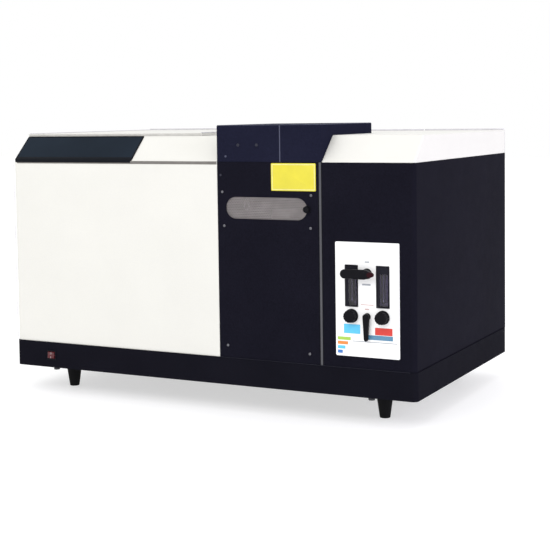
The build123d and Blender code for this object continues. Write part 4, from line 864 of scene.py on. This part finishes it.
def lever(bar, hub_radius, standoff):
    """A rounded bar hulled over circles, on a collared hub, with a screw cap over its pivot."""
    front = standoff + lever_thickness
    blade = prism(hulled(bar), lever_thickness, lever_edge, edge_steps)
    collar = hub_radius * 1.1
    neck = hub_radius * 0.96
    hub = [
        (0, 0.3), (collar, 0.3), (collar, 1.2), (neck, 1.8), (neck, standoff + 1), (0, standoff + 1)
    ]
    cap_radius = hub_radius * 0.62
    cap = [
        (0, front - 1), (cap_radius, front - 1), (cap_radius, front + 0.3),
        (hub_radius * 0.54, front + 0.9), (0, front + 1.1),
    ]
    return joined(lifted_by(standoff, blade), turned(hub), turned(cap))


gas_pivot = pivots["gas_lever_turn"]
gas_standoff = 12
mode_standoff = 3
gas_bar = [(-42.5, 0, 9.5), (-22, 0, 8.2), (0, 0, 10), (16, 0, 4.5)]
mode_bar = [(0, 0, 6.8), (0, -20, 5.6), (0, -45.5, 4.2)]
tip_circles = [(12.2, 0, 6.1), (16, 0, 4.8)]
tip_stand = 0.25
piece(
    "gas_selector", facing(lever(gas_bar, 10, gas_standoff), gas_pivot), "knob_plastic",
    "gas_handle", replaces=["gas_lever"],
)
piece(
    "mode_selector", facing(lever(mode_bar, 6.8, mode_standoff), pivots["mode_lever_turn"]),
    "knob_plastic", "mode_handle", replaces=["mode_lever"],
)
tip = prism(hulled(tip_circles), lever_thickness + 2 * tip_stand, lever_edge, edge_steps)
tip = lifted_by(gas_standoff - tip_stand, tip)
piece("gas_selector_tip", facing(tip, gas_pivot), "lever_tip", "gas_handle")

# Flowmeters: a bevelled bezel round each clear block and a back behind it
flow_width = 28.7
flow_wall = 3
flow_edge = 0.6
_, flow_depth, flow_height = size("flowmeter_frames")
flow_places = grid(
    drawn_in("flowmeter_frames", X, flow_width / 2), [high("flowmeter_frames").y],
    [middle("flowmeter_frames").z],
)
block_width, block_height = flow_width - 2 * flow_wall, flow_height - 2 * flow_wall
bezel = framed(
    (flow_width, flow_height, 1.5), (block_width, block_height, 0.8),
    [(0, 0), (flow_depth - flow_edge, 0), (flow_depth, flow_edge)], 0.8,
)
copies(
    "flowmeter_bezels", bezel, flow_places, FRONT, "frame_plastic", replaces=["flowmeter_frames"]
)
block_front = low("flowmeter_tubes").y
back_gap = 1.4
back_y = high("flowmeter_tubes").y + back_gap * MM
# The left back is darker than the right one: painted shadow of the gas lever
for side, (x, _, z), back in zip(("left", "right"), flow_places, ("lever_shadow_back", "meter_back")):
    back_plate = prism(rounded_rectangle(block_width, block_height, 0.5), depth=1.2, bevel=0.2)
    piece(f"flowmeter_back_{side}", facing(back_plate, (x, back_y, z)), back)

# Dark bars over the upper end and the left side of each clear block, and a printed scale
patch_thickness = 0.15
ink_thickness = 0.12
mask_height = 14
side_mask_width = 5
tick_height = 0.5
tick_right = 9.6
tick_pitch = 3.6
tick_low = -30
tick_count = 15


def block_prints(name, width, height, thickness, right, heights):
    """Black bars on both clear blocks, their right edges and middle heights about the blocks'."""
    copies(
        name, prism(rectangle(width, height), thickness),
        [
            (x + (right - width / 2) * MM, block_front, z + rise * MM)
            for x, _, z in flow_places
            for rise in heights
        ],
        FRONT, "print_and_shade_black",
    )


block_prints(
    "flowmeter_masks", block_width, mask_height, patch_thickness, block_width / 2,
    [(block_height - mask_height) / 2],
)
block_prints(
    "flowmeter_side_masks", side_mask_width, block_height - mask_height, patch_thickness,
    side_mask_width - block_width / 2, [-mask_height / 2],
)
ticks = [(index, tick_low + index * tick_pitch) for index in range(tick_count)]
long_ticks = [rise for index, rise in ticks if index % 5 == 0]
short_ticks = [rise for index, rise in ticks if index % 5]
for name, width, heights in (
    ("flowmeter_long_ticks", 5, long_ticks),
    ("flowmeter_ticks", 3.2, short_ticks),
):
    block_prints(name, width, tick_height, ink_thickness, tick_right, heights)

# Floats in the flowmeters
float_profile = [(0, 0), (1.1, 0), (3.2, 3), (3.2, 5.2), (2.4, 5.6), (1.4, 6), (1.2, 8.6), (0, 9)]
for side in ("left", "right"):
    node = f"float_{side}"
    meter_float = placed(turned(float_profile), (middle(node).x, middle(node).y, low(node).z))
    piece(f"meter_float_{side}", meter_float, "float_steel", f"{side}_float", replaces=[node])


# Printing on the control plate: plain patches and bars
def printed(name, x_span, z_span, ink, corner=1):
    """A thin patch of ink on the control plate, its edges in millimetres of the frame."""
    outline = rounded_rectangle(x_span[1] - x_span[0], z_span[1] - z_span[0], corner)
    place = (sum(x_span) / 2 * MM, fascia_face, sum(z_span) / 2 * MM)
    piece(name, facing(prism(outline, ink_thickness), place), ink)


printed("sky_patch", (344, 380.3), (189.2, 208.5), "label_sky")
printed("red_patch", (413, 451), (189.3, 204.5), "label_red")
printed("teal_strip", (398, 452), (178.8, 188.4), "print_teal")
printed("plate_rule", (363, 461), (173.2, 174.6), "print_grey", 0.3)
printed("rose_rule", (382, 410), (249.3, 250.9), "print_rose", 0.3)
printed("rose_mark", (391, 400.5), (239.8, 242.4), "print_rose", 0.6)
printed("upper_mark", (391.5, 401.5), (336.8, 339.2), "print_grey", 0.6)
printed("lower_mark", (385.5, 404), (289.8, 293.2), "print_grey", 0.6)
bars_left, bars_top = 330, 181.5
bar_pitch, bar_height = 9.2, 6.6
bar_lengths = {"label_green": 29, "label_orange": 23, "label_sky": 17, "label_blue": 11}
for row, (ink, length) in enumerate(bar_lengths.items()):
    bar_top = bars_top - bar_pitch * row
    bar_spans = (bars_left, bars_left + length), (bar_top - bar_height, bar_top)
    printed(f"colour_bar_{row}", *bar_spans, ink, corner=0.8)

# Marks on the rocker's two faces
rocker_pivot = pivots["rocker_tilt"]
rocker_front = -0.004
mark_rise = 0.0045
lower_face_step = 0.0013
lower_turn = Matrix.Rotation(math.radians(-16), 4, "X") @ FRONT
bar_mark = prism(rounded_rectangle(1.3, 4.8, 0.5), ink_thickness)
ring_mark = framed((4.6, 4.6, 2.29), (3.2, 3.2, 1.59), [(0, 0), (ink_thickness, 0)])
lower_face = rocker_pivot + Vector((0, rocker_front - lower_face_step, -mark_rise))
upper_face = rocker_pivot + Vector((0, rocker_front, mark_rise))
for name, shape in (
    ("rocker_bar_mark", placed(bar_mark, lower_face, lower_turn)),
    ("rocker_ring_mark", facing(ring_mark, upper_face)),
):
    piece(name, shape, "white_mark", "rocker")

# Hollow-cathode lamps: a glass bulb with a narrower window end round a cathode on rods
turret_pivot = pivots["turret_turn"]
lamp_radius = 18.5
lamp_orbit = high("cathode_lamps").z - turret_pivot.z - lamp_radius * MM
lamp_start = low("cathode_lamps").x
lamp_count = 4
lamp_places = [
    (lamp_start, turret_pivot.y + lamp_orbit * math.sin(turn), turret_pivot.z - lamp_orbit * math.cos(turn))
    for turn in [math.tau * lamp / lamp_count for lamp in range(lamp_count)]
]
bulb = [
    (0, 118.4), (11.4, 118.2), (11.6, 99), (17.2, 86), (17.2, 1.5), (18, 0), (lamp_radius, 1.2),
    (lamp_radius, 86.5), (13, 100), (12.8, 117.8), (12, 119.6), (0, 120),
]
copies(
    "lamp_bulbs", turned(bulb, 48), lamp_places, RIGHT, "lamp_glass", "turret",
    replaces=["cathode_lamps"],
)
rod = [(0, 1), (0.7, 1), (0.7, 56), (0, 56)]
rod_shift = 9
cathode = joined(
    turned([(0, 0.5), (17, 0.5), (17, 5), (15, 6), (0, 6)], 32),
    turned([(0, 48), (15.5, 48), (15.5, 49.2), (0, 49.2)], 32),
    turned([(0, 50), (5.4, 50), (5.4, 68), (3.2, 68), (3.2, 54), (0, 54)], 24),
    turned([(8, 64), (10, 64), (10, 66), (8, 66), (8, 64)], 32),
    *[placed(turned(rod, 10), (side * rod_shift * MM, 0, 0)) for side in (-1, 1)],
)
copies("lamp_cathodes", cathode, lamp_places, RIGHT, "cathode_metal", "turret")
socket_length = size("lamp_sockets").x
socket_flutes = 18
grip = [
    level(waved(radius, flute, socket_flutes, 4), height)
    for radius, flute, height in ((15.6, 0.7, 12), (15.6, 0.7, socket_length - 3), (14, 0, socket_length))
]
socket = joined(
    turned([(0, 0), (15, 0), (16, 1), (16, 7), (14.6, 8), (14.6, 12), (0, 12)], 40), lofted(grip)
)
socket_places = [(low("lamp_sockets").x, y, z) for _, y, z in lamp_places]
copies(
    "lamp_holders", socket, socket_places, RIGHT, "socket_plastic", "turret",
    replaces=["lamp_sockets"],
)

# Spray chamber: a flanged barrel with a riser and a drain, and the nebulizer on its front
chamber_low, chamber_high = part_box("spray_chamber")
chamber_x = middle("spray_chamber").x
chamber_z = pivots["pinion_turn"].z
chamber_length = size("spray_chamber").y
flame_y = middle("burner_head").y
riser_height = (chamber_high.z - chamber_z) / MM
drain_length = (chamber_z - chamber_low.z) / MM
drain_shift = 62
barrel = [
    (0, 0), (26.8, 0), (28, 1.2), (28, 9), (27, 10), (24.4, 10.6), (24.4, 40), (25.6, 41.2),
    (25.6, chamber_length - 12), (28, chamber_length - 10), (28, chamber_length - 1.2),
    (26.8, chamber_length), (0, chamber_length),
]
riser = [
    (0, 0), (14.6, 0), (14.6, riser_height - 20), (17, riser_height - 17), (17, riser_height - 1),
    (16, riser_height), (11.2, riser_height), (11.2, riser_height - 12), (0, riser_height - 12),
]
drain = [
    (0, 0), (4, 0), (4, 3), (5, 5), (4, 6), (4, 9), (5, 11), (4, 12), (4, 20), (5, 21),
    (5, drain_length), (0, drain_length),
]
chamber = joined(
    placed(turned(barrel, 56), (chamber_x, chamber_low.y, chamber_z), REAR),
    placed(turned(riser, 40), (chamber_x, flame_y, chamber_z)),
    placed(turned(drain, 24), (chamber_x, flame_y + drain_shift * MM, chamber_low.z)),
)
piece("mixing_chamber", chamber, "chamber_polymer", "burner", replaces=["spray_chamber"])
flange_screw_count = 6
flange_screw_radius = 21
flange_screws = [
    (chamber_x + x * MM, chamber_low.y, chamber_z + z * MM)
    for x, z in ring(flange_screw_radius, flange_screw_count)
]
copies("chamber_screws", screw_head(2.6, 2), flange_screws, FRONT, "machined_steel", "burner")
nebulizer_place = (chamber_x, high("nebulizer").y, chamber_z)
nebulizer_length = size("nebulizer").y
nebulizer_tube = [
    (0, 10), (9, 10), (7, 13), (6, 14), (6, nebulizer_length - 8), (4.4, nebulizer_length - 6),
    (4.4, nebulizer_length - 0.5), (4, nebulizer_length), (0, nebulizer_length),
]
clamp_flutes = 20
clamp = [
    level(waved(radius, flute, clamp_flutes, 4), height)
    for radius, flute, height in ((12.2, 0, 0), (13, 0.8, 1), (13, 0.8, 11), (12, 0, 12))
]
nebulizer = joined(turned(nebulizer_tube, 32), lofted(clamp))
piece(
    "nebulizer_body", facing(nebulizer, nebulizer_place), "machined_steel", "burner",
    replaces=["nebulizer"],
)

# Tapped holes of the lamp bench, each a bright countersink round a dark disc, painted shade that stands for the
# bore
bench_left, bench_front, _ = low("optical_benches")
bench_right, bench_rear, bench_top = 0.029, 0.125, 0.336
hole_step = 50 * MM
bench_holes = [
    (bench_left + (column + 0.5) * hole_step, bench_front + (row + 0.5) * hole_step, bench_top)
    for column in range(int((bench_right - bench_left) / hole_step))
    for row in range(int((bench_rear - bench_front) / hole_step))
]
rim = turned([(0, 0), (4, 0), (3.9, 0.12), (0, 0.12)], 20)
bore = turned([(0, 0.05), (2.9, 0.05), (2.9, 0.16), (0, 0.16)], 20)
copies("bench_hole_rims", rim, bench_holes, UP, "machined_steel")
copies("bench_hole_bores", bore, bench_holes, UP, "print_and_shade_black")

# Control board: chips with legs over their blocks, capacitors, headers and small parts
board_low, board_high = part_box("control_board")
board_x, board_y, _ = middle("control_board")
chip_block_height = 8
board_top = board_high.z - chip_block_height * MM
chip_size = 26.6
legs_per_side = 9
leg_pitch = 2.6
leg_reach = chip_size / 2 + 1
chip_pitch = (55, 50)
legs = [
    moved(
        prism(rectangle(2.4, 0.9), 0.6),
        Matrix.Rotation(math.pi / 2 * side, 4, "Z")
        @ Matrix.Translation((leg_reach * MM, along, 0.1 * MM)),
    )
    for side in range(4)
    for along in row_about(0, leg_pitch, legs_per_side)
]
chip_places = grid(
    row_about(board_x, chip_pitch[0], 3), row_about(board_y, chip_pitch[1], 2), [board_top]
)
capacitor = [
    (0, 0), (5.8, 0), (6, 0.4), (6, 1.4), (5.5, 2), (6, 2.6), (6, 15.2), (5.6, 15.8), (0, 15.8)
]
capacitor_cap = [(0, 15.7), (5.2, 15.7), (5.2, 16.2), (4.6, 16.4), (0, 16.1)]
capacitor_inset = (18, 14)
capacitor_pitch = 15
capacitor_places = grid(
    row_from(board_low.x + capacitor_inset[0] * MM, capacitor_pitch, 5),
    [board_high.y - capacitor_inset[1] * MM], [board_top],
)
key_pitch = 4.4
keys = [
    placed(prism(rectangle(2.6, 3), depth=1.2, bevel=0.3, segments=1), (x, -3.2 * MM, 8.4 * MM))
    for x in row_about(0, key_pitch, 10)
]
header = joined(prism(rectangle(46, 8), depth=9, bevel=0.4, segments=1), *keys)
header_inset = (36, 12)
header_pitch = 56
header_places = grid(
    row_from(board_high.x - header_inset[0] * MM, -header_pitch, 2),
    [board_high.y - header_inset[1] * MM], [board_top],
)
small_part_inset = 14
small_part_pitch = 9.2
small_part_rows = (-2.5, 2.5, 50)
small_places = grid(
    row_from(board_low.x + small_part_inset * MM, small_part_pitch, 22),
    [board_y + row * MM for row in small_part_rows], [board_top],
)
chip = prism(rectangle(chip_size, chip_size), depth=8.2, bevel=0.5, segments=1)
small_part = prism(rectangle(5.2, 2.6), depth=1.5, bevel=0.3, segments=1)
for name, shape, places, finish in (
    ("board_chips", chip, chip_places, "chip_black"),
    ("board_chip_legs", joined(*legs), chip_places, "cathode_metal"),
    ("board_capacitors", turned(capacitor, 24), capacitor_places, "capacitor_sleeve"),
    ("board_capacitor_caps", turned(capacitor_cap, 24), capacitor_places, "cathode_metal"),
    ("board_headers", header, header_places, "header_ivory"),
    ("board_small_parts", small_part, small_places, "chip_black"),
):
    copies(name, shape, places, UP, finish)

# Power supply: rows of vent slots, drawn as black patches of painted shade, and cover screws in its top
supply_x, supply_y, _ = middle("power_supply")
supply_top = high("power_supply").z
vent_pitch = (30, 12)
supply_screw_pitch = (164, 124)
vent_places = grid(
    row_about(supply_x, vent_pitch[0], 5), row_about(supply_y, vent_pitch[1], 9), [supply_top]
)
supply_screw_places = grid(
    row_about(supply_x, supply_screw_pitch[0], 2), row_about(supply_y, supply_screw_pitch[1], 2),
    [supply_top],
)
vent = prism(rounded_rectangle(24, 4, 1.99), patch_thickness)
copies("supply_vents", vent, vent_places, UP, "print_and_shade_black")
copies("supply_screws", screw_head(3, 1.8), supply_screw_places, UP, "machined_steel")

# Fan rotor: a domed hub and seven twisted blades
fan_centre = pivots["fan_spin"]
blade_count = 7
blade_root = 17.5
blade_tip = 54
half_rotor = 7
root_pitch, pitch_change = 52, 24
root_half_chord, chord_growth = 8, 1.6
blade_camber = 1.6
blade_section = ((-1, 0.1), (-0.3, 0.75), (0.4, 0.7), (1, 0.1), (0.4, -0.25), (-0.3, -0.3))


def fan_blade(steps=6):
    """One blade along X that twists flatter towards its tip; the rotor turns about Z."""
    sections = []
    for step in range(steps):
        share = step / (steps - 1)
        reach = blade_root + share * (blade_tip - blade_root)
        pitch = math.radians(root_pitch - pitch_change * share)
        half_chord = root_half_chord + chord_growth * share
        section = []
        for along, thick in blade_section:
            across = along * half_chord
            rise = thick + blade_camber * (1 - along**2)
            section.append(
                (
                    reach,
                    across * math.cos(pitch) - rise * math.sin(pitch),
                    across * math.sin(pitch) + rise * math.cos(pitch),
                )
            )
        sections.append(section)
    return lofted(sections)


rotor = joined(
    turned([(0, 0), (18, 0), (19, 1), (19, 12.5), (17.5, 14), (0, 14)], 40),
    *[
        moved(
            lifted_by(half_rotor, fan_blade()), Matrix.Rotation(math.tau * blade / blade_count, 4, "Z")
        )
        for blade in range(blade_count)
    ],
)
rotor_start = (fan_centre.x, middle("fan_rotor").y - half_rotor * MM, fan_centre.z)
piece("fan_impeller", placed(rotor, rotor_start, REAR), "fan_plastic", "fan", replaces=["fan_rotor"])


# Louvre hoods on the rear panel
def louvre_hood(width, height, reach, thickness=0.9, end_length=3, end_share=0.15, steps=6):
    """A pressed hood that is shut at its top and ends and open below; it stands on Z = 0."""
    sections = []
    half = width / 2
    for across in (-half, -half + end_length, half - end_length, half):
        full = end_share if abs(across) == half else 1
        outer, inner = [], []
        for step in range(steps + 1):
            angle = math.pi / 2 * step / steps
            drop, rise = math.cos(angle), full * reach * math.sin(angle)
            outer.append((across, height * drop - height / 2, rise))
            inner.append((across, (height - thickness) * drop - height / 2, max(0, rise - thickness)))
        sections.append(outer + inner[::-1])
    return lofted(sections)


louvre_x, louvre_z = -0.1, 0.437
louvre_pitch = (112, 18)
louvre_places = grid(
    row_about(louvre_x, louvre_pitch[0], 3), [rear_y], row_about(louvre_z, louvre_pitch[1], 6)
)
copies(
    "louvre_hoods", louvre_hood(width=100, height=10, reach=5), louvre_places,
    REAR @ Matrix.Rotation(math.pi, 4, "Z"), "black_panel",
)

# Screws of the rear panels, the fan and the sockets, and the data port's pins
panel_inset = 7 * MM
panel_seam = low("rear_panel").z
edge_x = high("rear_panel").x - panel_inset
row_heights = (
    base_top + panel_inset, panel_seam - panel_inset, panel_seam + panel_inset, shoulder - panel_inset
)
rear_screw_places = grid((-edge_x, 0, edge_x), [rear_y], row_heights)
rear_screw_places += grid((-edge_x, edge_x), [rear_y], [(panel_seam + shoulder) / 2])
fan_screw_pitch = 105
fan_screw_places = grid(
    row_about(fan_centre.x, fan_screw_pitch, 2), [rear_y], row_about(fan_centre.z, fan_screw_pitch, 2)
)
inlet_z = middle("power_inlet").z
inlet_screw_inset = 5
port_face = rear_y + 1.5 * MM
port_screw_inset = 3.2
socket_screw_places = [
    *grid(drawn_in("power_inlet", X, inlet_screw_inset), [high("power_inlet").y], [inlet_z]),
    *grid(drawn_in("data_port", X, port_screw_inset), [port_face], [inlet_z]),
]
for name, head, places in (
    ("rear_panel_screws", screw_head(3.6, 2), rear_screw_places),
    ("fan_screws", screw_head(3.4, 1.8), fan_screw_places),
    ("socket_screws", screw_head(2.2, 1), socket_screw_places),
):
    copies(name, head, places, REAR, "screw_steel")
pin_pitch = 2.8
pin_rise = 1.3
pin = [(0, 0), (0.5, 0), (0.5, 3.4), (0.2, 3.9), (0, 3.9)]
port_x = middle("data_port").x
pin_places = [
    *grid(row_about(port_x, pin_pitch, 5), [port_face], [inlet_z + pin_rise * MM]),
    *grid(row_about(port_x, pin_pitch, 4), [port_face], [inlet_z - pin_rise * MM]),
]
copies("port_pins", turned(pin, 10), pin_places, REAR, "fitting_brass")

# Floor, lights and camera
bpy.context.scene.view_settings.view_transform = "Standard"
floor_reach = 14
floor_glow = {"Emission Color": (1, 1, 1, 1), "Emission Strength": 0.58}
floor_mesh = bpy.data.meshes.new("floor")
floor_mesh.from_pydata(
    [(*corner, 0) for corner in rectangle(2 * floor_reach, 2 * floor_reach)], [], [(0, 1, 2, 3)]
)
surface("floor_card", (0.5, 0.5, 0.505), 0.6, tint=0.004, grain=300, edge_wear_and_shade=0, settings=floor_glow)
floor_mesh.materials.append(finishes["floor_card"])
linked("floor", floor_mesh)

world = bpy.data.worlds.new("studio")
world.use_nodes = True
world.node_tree.nodes["Background"].inputs["Color"].default_value = (1, 1, 1, 1)
world.node_tree.nodes["Background"].inputs["Strength"].default_value = 1
bpy.context.scene.world = world
light_target = Vector((0, 0, 0.35))


def area_light(name, place, width, height, power, colour=(1, 1, 1)):
    """A soft rectangular light that faces the cabinet."""
    light = bpy.data.lights.new(name, "AREA")
    light.color = colour
    light.shape = "RECTANGLE"
    light.size, light.size_y, light.energy = width, height, power
    lamp = bpy.data.objects.new(name, light)
    lamp.location = place
    lamp.rotation_euler = (light_target - Vector(place)).to_track_quat("-Z", "Y").to_euler()
    bpy.context.scene.collection.objects.link(lamp)


area_light("key", (0.1, -2.9, 2.4), 1.8, 1.4, 35)
area_light("top", (0, 0.2, 3), 2.6, 2, 8)
area_light("side", (3.4, -0.4, 1.3), 1.8, 1.8, 36, (0.8, 0.74, 1))

camera_data = bpy.data.cameras.new("camera")
camera = bpy.data.objects.new("camera", camera_data)
bpy.context.scene.collection.objects.link(camera)
bpy.context.scene.camera = camera
focal_pixels = 1282
frame_pixels = 550
principal = (255.6, 199.6)
camera_place = Vector((1.406, -2.704, 0.642))
yaw, pitch, roll = (math.radians(angle) for angle in (-27.79, 3.83, -0.83))
into_camera = (
    Matrix.Rotation(roll, 3, "Y") @ Matrix.Rotation(pitch, 3, "X") @ Matrix.Rotation(yaw, 3, "Z")
)
camera_axes = Matrix((into_camera[0], into_camera[2], -into_camera[1])).transposed()
camera.matrix_world = Matrix.Translation(camera_place) @ camera_axes.to_4x4()
camera_data.lens = camera_data.sensor_width * focal_pixels / frame_pixels
camera_data.shift_x = 0.5 - principal[0] / frame_pixels
camera_data.shift_y = principal[1] / frame_pixels - 0.5
